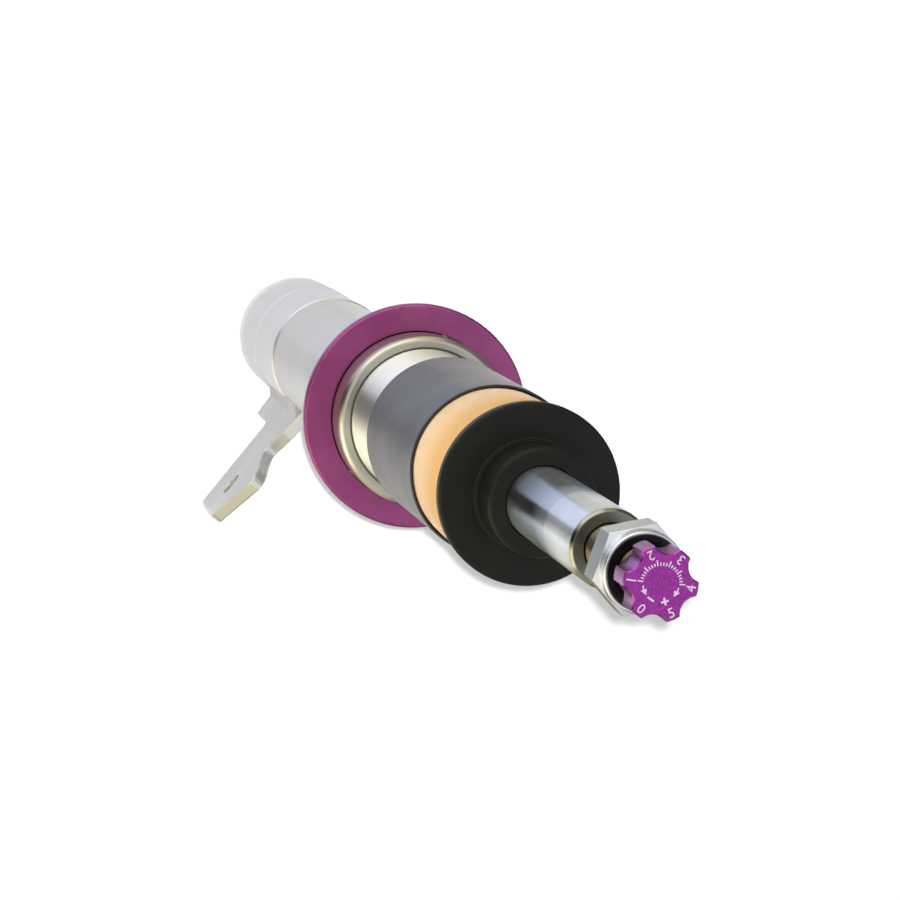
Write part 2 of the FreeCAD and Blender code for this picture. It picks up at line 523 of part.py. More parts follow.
class Piece:
    """One sub-part: a body standing on its own foot level on the strut axis."""

    def __init__(self, label, foot):
        self.foot = foot
        self.body = doc.addObject("PartDesign::Body", label)
        self.body.Label = label
        place(self.body, z=foot)

    def add(self, kind, name):
        """Adds a feature that carries the piece's name."""
        return self.body.newObject(kind, "%s_%s" % (self.body.Label, name))

    def origin(self, role):
        """Finds one of the body's own planes or axes."""
        return [f for f in self.body.Origin.OriginFeatures if f.Role == role][0]

    def sketch(self, name, role):
        """Opens a sketch on one of the body's own planes."""
        sketch = self.add("Sketcher::SketchObject", name)
        sketch.AttachmentSupport = [(self.origin(role), "")]
        sketch.MapMode = "FlatFace"
        return sketch

    def outline(self, name, points, role="XZ_Plane"):
        """Draws a closed outline; in the upright plane the second sizes are levels."""
        sketch = self.sketch(name, role)
        if role == "XZ_Plane":
            points = [(across, up - self.foot) for across, up in points]
        spots = [FreeCAD.Vector(across.value, up.value, 0) for across, up in points]
        count = len(spots)
        for i in range(count):
            sketch.addGeometry(Part.LineSegment(spots[i], spots[(i + 1) % count]))
        for i in range(count):
            sketch.addConstraint(Sketcher.Constraint("Coincident", i, 2, (i + 1) % count, 1))
        for i, (across, up) in enumerate(points):
            tie(sketch, i, 1, across, up)
        return sketch

    def circle(self, sketch, across, up, radius):
        """Draws a circle whose centre and radius follow their sizes."""
        centre = FreeCAD.Vector(across.value, up.value, 0)
        shape = sketch.addGeometry(Part.Circle(centre, FreeCAD.Vector(0, 0, 1), radius.value))
        tie(sketch, shape, 3, across, up)
        index = sketch.addConstraint(Sketcher.Constraint("Radius", shape, radius.value))
        sketch.setExpression("Constraints[%d]" % index, radius.text)
        return sketch

    def turn(self, name, points, kind="Revolution", angle=None):
        """Turns an outline round the strut axis, adding or (as a Groove) cutting."""
        sketch = self.outline("%s_outline" % name, points)
        feature = self.add("PartDesign::%s" % kind, name)
        feature.Profile = sketch
        feature.ReferenceAxis = (sketch, ["V_Axis"])
        if angle is not None:
            feature.setExpression("Angle", angle.text)
        doc.recompute()
        return feature

    def cut_ring(self, name, inner, outer, low, high):
        """Cuts a ring-shaped recess between two radii and two levels."""
        return self.turn(name, [(inner, low), (outer, low), (outer, high), (inner, high)], "Groove")

    def bore(self, name, radius, low, high):
        """Cuts a round hole on the strut axis, open at both levels."""
        return self.cut_ring(name, NONE, radius, low - dim.cut_margin, high + dim.cut_margin)

    def cut_round(self, name, radius, height, x=None, y=None, z=None, angle=None):
        """Cuts a cylinder, upright or laid along a radius."""
        cutter = self.add("PartDesign::SubtractiveCylinder", name)
        cutter.Placement = FreeCAD.Placement()
        if angle is not None:
            lay_along(cutter, angle)
        cutter.setExpression("Radius", radius.text)
        cutter.setExpression("Height", height.text)
        place(cutter, x, y, z)
        doc.recompute()
        return cutter

    def cut_hexagon(self, name, half_flats, depth, top):
        """Cuts a hexagon socket on the piece's own axis, open at its top."""
        cutter = self.add("PartDesign::SubtractivePrism", name)
        cutter.Polygon = HEXAGON_SIDES
        cutter.Placement = FreeCAD.Placement()
        cutter.setExpression("Circumradius", (half_flats * CORNER).text)
        cutter.setExpression("Height", (depth + dim.cut_margin).text)
        place(cutter, z=top - depth)
        doc.recompute()
        return cutter

    def stand_hexagon(self, name, flats, height):
        """Stands a hexagonal prism on the foot level."""
        prism = self.add("PartDesign::AdditivePrism", name)
        prism.Polygon = HEXAGON_SIDES
        prism.setExpression("Circumradius", (flats / 2 * CORNER).text)
        prism.setExpression("Height", height.text)
        doc.recompute()
        return prism

    def bevel_hexagon(self, name, flats, level, sign):
        """Turns the corners of a hexagon down, at its top (-1) or at its foot (1)."""
        inner = flats / 2
        outer = inner * CORNER + dim.nut_bevel_out
        return self.turn(name, [(inner, level), (outer, level), (outer, level + dim.nut_bevel_rise * sign)],
                         "Groove")

    def polar(self, name, feature, count):
        """Repeats a feature evenly round the strut axis."""
        pattern = self.add("PartDesign::PolarPattern", "%s_ring" % name)
        pattern.Originals = [feature]
        pattern.Axis = (self.origin("Z_Axis"), [""])
        pattern.setExpression("Occurrences", count.text)
        self.body.Tip = pattern
        doc.recompute()
        return pattern

    def thread(self, name, crest, depth, flank, pitch, start, count):
        """Cuts thread rings of the right pitch and depth from a start level upwards."""
        rim = crest + dim.loose_gap
        groove = self.turn(name, [(rim, start), (crest - depth, start + flank / 2), (rim, start + flank)],
                           "Groove")
        pattern = self.add("PartDesign::LinearPattern", "%s_rings" % name)
        pattern.Originals = [groove]
        pattern.Direction = (self.origin("Z_Axis"), [""])
        pattern.setExpression("Length", (pitch * (count - 1)).text)
        pattern.setExpression("Occurrences", count.text)
        self.body.Tip = pattern
        doc.recompute()
        return pattern

    def rims(self, *places):
        """Finds the full circular edges at the given radii and levels."""
        names = []
        for i, edge in enumerate(self.body.Tip.Shape.Edges, start=1):
            curve = edge.Curve
            if not isinstance(curve, Part.Circle) or math.hypot(curve.Center.x, curve.Center.y) > MATCH:
                continue
            for radius, level in places:
                height = (level - self.foot).value
                if abs(curve.Radius - radius.value) < MATCH and abs(curve.Center.z - height) < MATCH:
                    names.append("Edge%d" % i)
        return names

    def corners(self, *places):
        """Finds the edges that run through a plate's thickness at the given corners."""
        names = []
        for i, edge in enumerate(self.body.Tip.Shape.Edges, start=1):
            ends = [v.Point for v in edge.Vertexes]
            if len(ends) != 2 or abs(ends[0].x - ends[1].x) + abs(ends[0].z - ends[1].z) > MATCH:
                continue
            for across, up in places:
                height = (up - self.foot).value
                if abs(ends[0].x - across.value) < MATCH and abs(ends[0].z - height) < MATCH:
                    names.append("Edge%d" % i)
        return names

    def soften(self, kind, size, names):
        """Rounds (Fillet) or bevels (Chamfer) the named edges of the last feature."""
        base = self.body.Tip
        feature = self.add("PartDesign::%s" % kind, "%s_%d" % (kind.lower(), len(self.body.Group)))
        feature.Base = (base, names)
        feature.setExpression("Radius" if kind == "Fillet" else "Size", size.text)
        doc.recompute()
        return feature

    def round_rims(self, size, *places):
        """Rounds the circular edges at the given radii and levels."""
        return self.soften("Fillet", size, self.rims(*places))

    def bevel_rims(self, size, *places):
        """Bevels the circular edges at the given radii and levels."""
        return self.soften("Chamfer", size, self.rims(*places))


def turned(label, points):
    """Makes a piece by turning one outline; its lowest level becomes the foot."""
    foot = min((up for across, up in points), key=lambda level: level.value)
    piece = Piece(label, foot)
    piece.turn("turned", points)
    return piece


def ring(label, inner, outer, foot, top):
    """Makes a plain ring."""
    return turned(label, [(inner, foot), (outer, foot), (outer, top), (inner, top)])


def set_screw(label, radius, length, socket, socket_depth, start, level, angle):
    """Makes a set screw that lies along a radius, its socket facing outwards."""
    screw = Piece(label, NONE)
    shank = screw.add("PartDesign::AdditiveCylinder", "shank")
    shank.setExpression("Radius", radius.text)
    shank.setExpression("Height", length.text)
    screw.cut_hexagon("socket", socket, socket_depth, length)
    lay_along(screw.body, angle)
    x, y = at_angle(start, angle)
    place(screw.body, x, y, level)
    doc.recompute()
    return screw


def group(label, members):
    """Gathers separate solids in one named sub-part."""
    compound = doc.addObject("Part::Compound", label)
    compound.Label = label
    compound.Links = members
    doc.recompute()
    return compound


def shim_stack(label, bore, largest, face, count, rise):
    """Stacks shims on a valve face, the largest against it, upwards or downwards."""
    shims = []
    for i in range(int(count.value)):
        near = face + dim.shim_thickness * (i * rise)
        far = face + dim.shim_thickness * ((i + 1) * rise)
        low, high = (near, far) if rise > 0 else (far, near)
        shims.append(ring("%s_%d" % (label, i + 1), bore, largest - dim.shim_step * i, low, high).body)
    return group(label, shims)


kept = []


def keep(item):
    """Marks a piece or group as a sub-part to be written out."""
    kept.append(item.body if isinstance(item, Piece) else item)
    return item


# Foot: clamped sleeve with its calibrated clamp zone, damper tube and base cap
clamp = keep(turned("foot_sleeve", [
    (dim.spigot_radius, dim.clamp_foot), (dim.clamp_radius, dim.clamp_foot),
    (dim.clamp_radius, dim.clamp_zone_top), (dim.foot_radius, dim.clamp_zone_top),
    (dim.foot_radius, dim.shoulder_level), (dim.spigot_radius, dim.shoulder_level)]))
clamp.round_rims(dim.clamp_edge_round, (dim.clamp_radius, dim.clamp_foot))
clamp.bevel_rims(dim.clamp_top_bevel, (dim.foot_radius, dim.shoulder_level))

tube = keep(turned("housing_tube", [
    (dim.tube_bore, dim.tube_foot), (dim.spigot_radius, dim.tube_foot),
    (dim.spigot_radius, dim.shoulder_level), (dim.tube_radius, dim.shoulder_level),
    (dim.tube_radius, dim.tube_top), (dim.tube_bore, dim.tube_top)]))
tube.cut_ring("stop_groove", dim.snap_groove_radius, dim.tube_radius + dim.cut_margin,
              dim.snap_foot, dim.thread_foot)

keep(turned("base_cap", [
    (NONE, dim.cap_foot), (dim.spigot_radius, dim.cap_foot), (dim.spigot_radius, dim.tube_foot),
    (dim.tube_bore, dim.tube_foot), (dim.tube_bore, dim.cap_top), (NONE, dim.cap_top)]))


def fit_to_tube(piece):
    """Cuts away what would stand inside foot sleeve and tube."""
    low = piece.foot - dim.cut_margin
    high = dim.horn_level + dim.cut_margin
    piece.cut_round("fit_tube", dim.tube_radius, high - low, z=low - piece.foot)
    piece.cut_round("fit_sleeve", dim.foot_radius, dim.shoulder_level - low, z=low - piece.foot)


# Link bracket, fitted to the stepped outside of foot sleeve and tube, and its two weld beads
bracket = keep(Piece("link_bracket", dim.bracket_foot))
plate_outline = bracket.outline("outline", [
    (dim.plate_inset, dim.bracket_foot), (dim.step_reach, dim.step_low),
    (dim.step_reach, dim.step_high), (dim.arm_start, dim.arm_low), (dim.arm_reach, dim.arm_low),
    (dim.arm_reach, dim.arm_high), (dim.horn_reach, dim.horn_level), (dim.side_reach, dim.side_level),
    (dim.wall_reach, dim.wall_level), (dim.notch_reach, dim.notch_level),
    (dim.ridge_reach, dim.ridge_level), (dim.plate_inset, dim.root_level)])
bracket.circle(plate_outline, dim.link_reach, dim.link_level - dim.bracket_foot, dim.link_radius)
plate = bracket.add("PartDesign::Pad", "plate")
plate.Profile = plate_outline
plate.SideType = "Symmetric"
plate.setExpression("Length", dim.plate_thickness.text)
doc.recompute()
bracket.soften("Fillet", dim.plate_corner, bracket.corners(
    (dim.arm_reach, dim.arm_low), (dim.arm_reach, dim.arm_high), (dim.horn_reach, dim.horn_level),
    (dim.notch_reach, dim.notch_level)))
bracket.soften("Fillet", dim.step_corner, bracket.corners(
    (dim.step_reach, dim.step_low), (dim.side_reach, dim.side_level), (dim.wall_reach, dim.wall_level)))
fit_to_tube(bracket)

bead = Piece("weld_bead", dim.bracket_foot + dim.weld_end)
bead_side = dim.plate_thickness / 2
bead_outline = bead.outline("section", [
    (dim.plate_inset, bead_side), (dim.clamp_radius + dim.weld_leg, bead_side),
    (dim.plate_inset, bead_side + dim.weld_leg * 2)], "XY_Plane")
bead_run = bead.add("PartDesign::Pad", "run")
bead_run.Profile = bead_outline
bead_run.setExpression("Length", (dim.root_level - dim.bracket_foot - dim.weld_end * 2).text)
doc.recompute()
fit_to_tube(bead)
second_bead = doc.addObject("Part::Mirroring", "second_weld_bead")
second_bead.Source = bead.body
second_bead.Normal = FreeCAD.Vector(0, 1, 0)
doc.recompute()
keep(group("bracket_welds", [bead.body, second_bead]))

# Threaded sleeve on its stop ring
stop_ring = keep(Piece("sleeve_snap_ring", dim.snap_foot))
stop_ring.turn("ring", [
    (dim.snap_groove_radius, dim.snap_foot), (dim.snap_outer, dim.snap_foot),
    (dim.snap_outer, dim.thread_foot), (dim.snap_groove_radius, dim.thread_foot)], angle=dim.snap_turn)

sleeve = keep(turned("threaded_sleeve", [
    (dim.thread_bore, dim.thread_foot), (dim.thread_radius, dim.thread_foot),
    (dim.thread_radius, dim.collar_foot), (dim.collar_radius, dim.collar_foot),
    (dim.collar_radius, dim.collar_top), (dim.collar_mouth, dim.collar_top),
    (dim.collar_mouth, dim.mouth_foot), (dim.thread_bore, dim.mouth_foot)]))
sleeve.round_rims(dim.collar_round, (dim.collar_radius, dim.collar_top))
sleeve.bevel_rims(dim.mouth_bevel, (dim.collar_mouth, dim.collar_top))
sleeve.thread("thread", dim.thread_radius, dim.thread_depth, dim.thread_flank, dim.thread_pitch,
              dim.thread_foot + dim.thread_start, dim.thread_count)

# Spring seat flange with adjuster ring, lock ring and grub screw
seat = keep(ring("spring_seat", dim.seat_bore, dim.seat_radius, dim.seat_foot, dim.seat_top))
seat.round_rims(dim.seat_round, (dim.seat_radius, dim.seat_top))


def spanner_ring(label, radius, foot, top):
    """Makes a threaded ring with bevelled edges and open spanner slots."""
    piece = keep(ring(label, dim.ring_bore, radius, foot, top))
    piece.bevel_rims(dim.ring_bevel, (radius, foot), (radius, top))
    slot = piece.add("PartDesign::SubtractiveBox", "slot")
    slot.Placement = FreeCAD.Placement()
    slot.setExpression("Length", (dim.slot_depth + dim.cut_margin).text)
    slot.setExpression("Width", dim.slot_width.text)
    slot.setExpression("Height", (top - foot).text)
    place(slot, x=radius - dim.slot_depth, y=NONE - dim.slot_width / 2)
    doc.recompute()
    piece.polar("slot", slot, dim.slot_count)
    return piece


adjuster = spanner_ring("adjuster_ring", dim.ring_radius, dim.ring_foot, dim.ring_top)
grub_x, grub_y = at_angle(dim.ring_bore - dim.cut_margin, dim.grub_angle)
adjuster.cut_round("grub_hole", dim.grub_radius, dim.ring_wall + dim.cut_margin * 2,
                   grub_x, grub_y, dim.ring_height / 2, dim.grub_angle)
spanner_ring("lock_ring", dim.lock_radius, dim.lock_foot, dim.lock_top)
keep(set_screw("lock_screw", dim.grub_radius, dim.grub_length, dim.grub_socket, dim.grub_socket_depth,
               dim.ring_radius - dim.grub_length - dim.loose_gap, dim.ring_foot + dim.ring_height / 2,
               dim.grub_angle))

# Inner cylinder and foot valve
keep(ring("inner_tube", dim.cylinder_bore, dim.cylinder_radius, dim.cylinder_foot, dim.cylinder_top))
recess_top = dim.cap_top + dim.valve_recess_depth
valve = keep(turned("foot_valve_body", [
    (dim.valve_recess, dim.cap_top), (dim.valve_flange, dim.cap_top),
    (dim.valve_flange, dim.cylinder_foot), (dim.cylinder_fit, dim.cylinder_foot),
    (dim.cylinder_fit, dim.valve_spigot_top), (dim.valve_bolt_radius, dim.valve_spigot_top),
    (dim.valve_bolt_radius, recess_top), (dim.valve_recess, recess_top)]))
VALVE_ROOM = dim.valve_spigot_top - dim.cap_top
valve_port = valve.cut_round("port", dim.valve_port, VALVE_ROOM + dim.cut_margin, x=dim.valve_port_ring)
valve.polar("port", valve_port, dim.port_count)
keep(shim_stack("foot_valve_shims", dim.valve_bolt_radius, dim.shim_large, dim.valve_spigot_top,
                dim.valve_shim_count, 1))
head_foot = dim.valve_spigot_top + dim.shim_thickness * dim.valve_shim_count
head_top = head_foot + dim.valve_bolt_head_height
bolt_foot = dim.valve_spigot_top - dim.valve_bolt_length
bolt = keep(turned("foot_valve_bolt", [
    (NONE, bolt_foot), (dim.valve_bolt_radius, bolt_foot), (dim.valve_bolt_radius, head_foot),
    (dim.valve_bolt_head, head_foot), (dim.valve_bolt_head, head_top), (NONE, head_top)]))
bolt.cut_hexagon("socket", dim.valve_bolt_socket, dim.valve_bolt_socket_depth, head_top - bolt_foot)

# Rod guide, bush, o-ring, rod seal, gland nut and wiper
guide = keep(turned("rod_guide", [
    (dim.guide_bore, dim.guide_foot), (dim.cylinder_fit, dim.guide_foot),
    (dim.cylinder_fit, dim.cylinder_top), (dim.guide_skin, dim.cylinder_top),
    (dim.guide_skin, dim.seal_foot), (dim.bush_radius, dim.seal_foot),
    (dim.bush_radius, dim.bush_foot), (dim.guide_bore, dim.bush_foot)]))
guide.cut_ring("o_ring_groove", dim.oring_bottom, dim.tube_bore + dim.cut_margin,
               dim.oring_level - dim.oring_groove, dim.oring_level + dim.oring_groove)
bush = keep(ring("guide_bush", dim.rod_fit, dim.bush_radius, dim.bush_foot, dim.bush_top))
bush.bevel_rims(dim.bush_bevel, (dim.bush_radius, dim.bush_foot))

oring = keep(doc.addObject("Part::Torus", "guide_oring"))
oring.Label = "guide_oring"
oring.setExpression("Radius1", dim.oring_ring.text)
oring.setExpression("Radius2", dim.oring_section.text)
place(oring, z=dim.oring_level)

keep(turned("rod_seal", [
    (dim.rod_fit + dim.seal_mouth_step, dim.seal_foot), (dim.seal_skin, dim.seal_foot),
    (dim.seal_skin, dim.seal_top), (dim.rod_fit + dim.seal_relief, dim.seal_top),
    (dim.rod_fit, dim.seal_lip_level + dim.seal_lip_height), (dim.rod_fit, dim.seal_lip_level)]))
gland = keep(turned("gland_nut", [
    (dim.gland_bore, dim.seal_top), (dim.guide_skin, dim.seal_top), (dim.guide_skin, dim.tube_top),
    (dim.gland_flange, dim.tube_top), (dim.gland_flange, dim.gland_top),
    (dim.wiper_radius, dim.gland_top), (dim.wiper_radius, dim.wiper_foot),
    (dim.gland_bore, dim.wiper_foot)]))
spanner_hole = gland.cut_round("spanner_hole", dim.spanner_hole, dim.spanner_depth + dim.cut_margin,
                               x=dim.spanner_ring, z=dim.gland_top - dim.spanner_depth - dim.seal_top)
gland.polar("spanner_hole", spanner_hole, dim.spanner_count)
keep(turned("wiper_seal", [
    (dim.rod_fit, dim.wiper_foot), (dim.wiper_radius, dim.wiper_foot),
    (dim.wiper_radius, dim.wiper_shelf), (dim.rod_fit + dim.wiper_shelf_step, dim.wiper_shelf),
    (dim.rod_fit + dim.wiper_lip, dim.wiper_top), (dim.rod_fit, dim.wiper_top)]))

# Bump stop with two waists, and the dust sleeve round it
foam = keep(turned("bump_stop", [
    (dim.foam_bore, dim.gland_top), (dim.foam_radius, dim.gland_top),
    (dim.foam_radius, dim.waist_low - dim.waist_half), (dim.foam_waist, dim.waist_low),
    (dim.foam_radius, dim.waist_low + dim.waist_half),
    (dim.foam_radius, dim.waist_high - dim.waist_half), (dim.foam_waist, dim.waist_high),
    (dim.foam_radius, dim.waist_high + dim.waist_half), (dim.foam_radius, dim.foam_top),
    (dim.foam_bore, dim.foam_top)]))
foam.round_rims(dim.foam_round, (dim.foam_radius, dim.foam_top))
dust = keep(turned("dust_sleeve", [
    (dim.dust_bore, dim.dust_foot), (dim.dust_foot_radius, dim.dust_foot),
    (dim.dust_top_radius, dim.dust_top), (dim.dust_bore, dim.dust_top)]))
dust.bevel_rims(dim.dust_edge, (dim.dust_top_radius, dim.dust_top))

# Piston rod with stud thread, adjuster bore, cross hole and detent groove
rod = keep(turned("piston_rod", [
    (dim.rod_port, dim.spigot_foot), (dim.piston_spigot, dim.spigot_foot),
    (dim.piston_spigot, dim.rod_foot), (dim.rod_radius, dim.rod_foot),
    (dim.rod_radius, dim.rod_shoulder), (dim.stud_radius, dim.rod_shoulder),
    (dim.stud_radius, dim.stud_top), (dim.rod_bore, dim.stud_top),
    (dim.rod_bore, dim.rod_bore_foot), (dim.rod_port, dim.rod_bore_foot)]))
rod.bevel_rims(dim.stud_bevel, (dim.stud_radius, dim.stud_top))
rod.turn("detent_groove", [
    (dim.detent_ring - dim.detent_half, dim.stud_top + dim.face_gap),
    (dim.detent_ring, dim.stud_top - dim.detent_depth),
    (dim.detent_ring + dim.detent_half, dim.stud_top + dim.face_gap)], "Groove")
CROSS_REACH = dim.rod_radius + dim.cut_margin
rod.cut_round("cross_port", dim.cross_port, CROSS_REACH * 2, x=NONE - CROSS_REACH,
              z=dim.cross_port_level - dim.spigot_foot, angle=NONE)
rod.thread("thread", dim.stud_radius, dim.stud_depth, dim.stud_flank, dim.stud_pitch,
           dim.stud_thread_foot, dim.stud_thread_count)

spacer = keep(ring("spacer_bush", dim.spacer_bore, dim.rod_radius, dim.rod_shoulder, dim.spacer_top))
spacer.bevel_rims(dim.spacer_bevel, (dim.rod_radius, dim.spacer_top))
bump_plate = keep(turned("bump_plate", [
    (dim.rod_radius, dim.plate_foot), (dim.plate_radius, dim.plate_foot),
    (dim.plate_radius, dim.plate_top), (dim.boss_lip_radius, dim.plate_top),
    (dim.boss_lip_radius, dim.plate_top + dim.boss_lip_height),
    (dim.boss_radius, dim.plate_top + dim.boss_lip_height),
    (dim.boss_radius, dim.boss_top), (dim.rod_radius, dim.boss_top)]))
bump_plate.round_rims(dim.plate_round, (dim.plate_radius, dim.plate_top),
                      (dim.plate_radius, dim.plate_foot))
bump_plate.round_rims(dim.boss_round, (dim.boss_radius, dim.boss_top))
bump_plate.bevel_rims(dim.boss_mouth, (dim.rod_radius, dim.boss_top))

# Top lock nut with its locking insert
nut = keep(Piece("top_lock_nut", dim.nut_foot))
nut.stand_hexagon("hexagon", dim.nut_flats, dim.nut_hex_height)
nut.bevel_hexagon("foot_bevel", dim.nut_flats, dim.nut_foot, 1)
nut.bevel_hexagon("top_bevel", dim.nut_flats, dim.hex_top, -1)
nut.turn("collar", [
    (dim.stud_radius, dim.nut_foot), (dim.nut_collar, dim.nut_foot), (dim.nut_collar, dim.nut_top),
    (dim.stud_radius, dim.nut_top)])
nut.bore("bore", dim.stud_radius, dim.nut_foot, dim.nut_top)
nut.cut_ring("insert_seat", dim.stud_radius - dim.cut_margin, dim.nut_collar_bore, dim.insert_foot,
             dim.nut_top + dim.cut_margin)
nut.round_rims(dim.nut_collar_round, (dim.nut_collar, dim.nut_top), (dim.nut_collar_bore, dim.nut_top))
nut.body.setExpression(".Placement.Rotation.Angle", dim.nut_angle.text)
insert = keep(ring("nut_insert", dim.stud_radius, dim.nut_collar_bore, dim.insert_foot, dim.insert_top))
insert.round_rims(dim.insert_round, (dim.stud_radius, dim.insert_top))

# Rebound stop and piston valve
keep(ring("rebound_stop_ring", dim.rod_radius, dim.stop_ring_radius, dim.stop_ring_foot,
          dim.stop_ring_top))
bumper = keep(ring("rebound_bumper", dim.rod_radius, dim.bumper_radius, dim.stop_ring_top,
                   dim.bumper_top))
bumper.round_rims(dim.bumper_round, (dim.bumper_radius, dim.bumper_top))
piston = keep(ring("piston", dim.piston_spigot, dim.piston_radius, dim.piston_foot, dim.piston_top))
piston.cut_ring("band_groove", dim.band_inner - dim.running_gap, dim.piston_radius + dim.cut_margin,
                dim.band_foot, dim.band_top)
piston_port = piston.cut_round("port", dim.piston_port, dim.piston_height, x=dim.piston_port_ring)
piston.polar("port", piston_port, dim.port_count)
keep(ring("piston_band", dim.band_inner, dim.band_radius, dim.band_foot + dim.face_gap,
          dim.band_top - dim.face_gap))
keep(shim_stack("compression_shims", dim.piston_spigot, dim.piston_shim_large, dim.piston_top,
                dim.piston_shim_count, 1))
keep(shim_stack("rebound_shims", dim.piston_spigot, dim.piston_shim_large, dim.piston_foot,
                dim.piston_shim_count, -1))
piston_nut = keep(Piece("piston_nut", dim.piston_nut_foot))
piston_nut.stand_hexagon("hexagon", dim.piston_nut_flats, dim.piston_nut_height)
piston_nut.bevel_hexagon("foot_bevel", dim.piston_nut_flats, dim.piston_nut_foot, 1)
piston_nut.bore("bore", dim.piston_spigot, dim.piston_nut_foot, dim.piston_nut_top)

# Adjuster dial with finger scallops, hub, shaft bore, ball pocket and screw hole
hub_foot = dim.stud_top + dim.loose_gap
dial = keep(turned("adjuster_dial", [
    (dim.shaft_radius, hub_foot), (dim.hub_radius, hub_foot), (dim.hub_radius, dim.dial_foot),
    (dim.dial_radius, dim.dial_foot), (dim.dial_radius, dim.dial_top), (NONE, dim.dial_top),
    (NONE, dim.shaft_top), (dim.shaft_radius, dim.shaft_top)]))
scallop_x, scallop_y = at_angle(dim.scallop_ring, dim.half_lobe)
scallop = dial.cut_round("scallop", dim.scallop_radius, dim.dial_top - hub_foot, scallop_x, scallop_y)
dial.polar("scallop", scallop, dim.lobe_count)
face_edges = []
for i, edge in enumerate(dial.body.Tip.Shape.Edges, start=1):
    heights = [v.Point.z for v in edge.Vertexes]
    if len(heights) == 2 and min(heights) > (dim.dial_top - hub_foot).value - MATCH:
        face_edges.append("Edge%d" % i)
dial.soften("Chamfer", dim.dial_bevel, face_edges)
ball_x, ball_y = at_angle(dim.detent_ring, dim.ball_angle)
dial.cut_round("ball_pocket", dim.ball_radius + dim.pocket_gap, dim.pocket_top - hub_foot, ball_x, ball_y)
dial.cut_round("screw_hole", dim.screw_radius, dim.dial_radius, z=dim.screw_level - hub_foot,
               angle=dim.screw_angle)
keep(set_screw("dial_screw", dim.screw_radius, dim.screw_length, dim.screw_socket,
               dim.screw_socket_depth, dim.shaft_radius, dim.screw_level, dim.screw_angle))

# Adjuster shaft, metering needle, detent ball and its spring
thread_end = dim.shaft_foot + dim.shaft_thread_depth
keep(turned("adjuster_shaft", [
    (dim.shaft_thread, dim.shaft_foot), (dim.shaft_radius, dim.shaft_foot),
    (dim.shaft_radius, dim.shaft_top), (NONE, dim.shaft_top), (NONE, thread_end),
    (dim.shaft_thread, thread_end)]))
keep(turned("rebound_needle", [
    (NONE, dim.needle_tip), (dim.needle_tip_radius, dim.needle_tip), (dim.needle_cone, dim.needle_foot),
    (dim.needle_radius, dim.needle_foot), (dim.needle_radius, dim.needle_stem_top),
    (dim.needle_screw, dim.needle_stem_top), (dim.needle_screw, dim.needle_screw_top),
    (NONE, dim.needle_screw_top)]))

ball = keep(doc.addObject("Part::Sphere", "detent_ball"))
ball.Label = "detent_ball"
ball.setExpression("Radius", dim.ball_radius.text)
place(ball, ball_x, ball_y, dim.ball_level)

coil_foot = dim.ball_level + dim.ball_radius + dim.coil_wire
coil = keep(Piece("detent_spring", coil_foot))
coil_section = coil.circle(coil.sketch("wire", "XZ_Plane"), dim.coil_radius, NONE, dim.coil_wire)
wire = coil.add("PartDesign::AdditiveHelix", "coil")
wire.Profile = coil_section
wire.ReferenceAxis = (coil_section, ["V_Axis"])
wire.Mode = "height-turns-angle"
wire.setExpression("Height", (dim.pocket_top - dim.coil_wire - coil_foot).text)
wire.setExpression("Turns", dim.coil_turns.text)
place(coil.body, ball_x, ball_y)
doc.recompute()

for item in doc.Objects:
    if "Invalid" in item.State or "Error" in item.State:
        raise RuntimeError("%s: %s" % (item.Label, item.State))
os.makedirs("parts", exist_ok=True)
for item in kept:
    if item.Shape.isNull() or not item.Shape.isValid() or item.Shape.Volume <= 0:
        raise RuntimeError("%s has no sound shape" % item.Label)
    item.Shape.exportStep("parts/%s.step" % item.Label)
    box = item.Shape.BoundBox
    print("%-18s %10.1f mm3  x %.1f..%.1f  y %.1f..%.1f  z %.1f..%.1f" % (
        item.Label, item.Shape.Volume, box.XMin, box.XMax, box.YMin, box.YMax, box.ZMin, box.ZMax))
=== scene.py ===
"""Looks of a clamp-type strut damper: its finishes, its foam bump stop and the legend of its dial.

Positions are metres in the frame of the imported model: Z runs up the strut towards the dial and X
towards the link bracket. Sizes whose names end in mm are millimetres.
"""

from __future__ import annotations

import json
import logging
import math
from dataclasses import dataclass, field, replace
from enum import Enum

import bmesh
import bpy
from mathutils import Euler, Matrix, Vector, noise

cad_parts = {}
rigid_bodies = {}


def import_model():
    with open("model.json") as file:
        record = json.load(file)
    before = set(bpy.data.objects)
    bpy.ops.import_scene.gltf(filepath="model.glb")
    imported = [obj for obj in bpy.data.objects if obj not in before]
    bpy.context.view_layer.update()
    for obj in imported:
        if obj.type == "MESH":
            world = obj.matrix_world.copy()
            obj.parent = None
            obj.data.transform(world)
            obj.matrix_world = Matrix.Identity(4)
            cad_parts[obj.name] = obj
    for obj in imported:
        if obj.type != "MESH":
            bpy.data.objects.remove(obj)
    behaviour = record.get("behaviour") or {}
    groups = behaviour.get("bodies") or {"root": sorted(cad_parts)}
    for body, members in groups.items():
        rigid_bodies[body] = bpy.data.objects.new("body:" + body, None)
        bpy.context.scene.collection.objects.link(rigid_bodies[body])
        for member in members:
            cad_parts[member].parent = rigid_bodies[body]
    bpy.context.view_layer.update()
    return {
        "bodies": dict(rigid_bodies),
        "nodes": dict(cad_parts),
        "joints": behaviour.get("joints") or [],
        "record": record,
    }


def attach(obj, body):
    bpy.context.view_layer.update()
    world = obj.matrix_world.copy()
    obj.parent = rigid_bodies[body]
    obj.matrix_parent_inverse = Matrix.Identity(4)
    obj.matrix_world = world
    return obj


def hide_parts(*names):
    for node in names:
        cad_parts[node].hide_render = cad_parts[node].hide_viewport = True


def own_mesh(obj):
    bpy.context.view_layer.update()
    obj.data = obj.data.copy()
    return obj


MM = 0.001
LOG = logging.getLogger("strut")
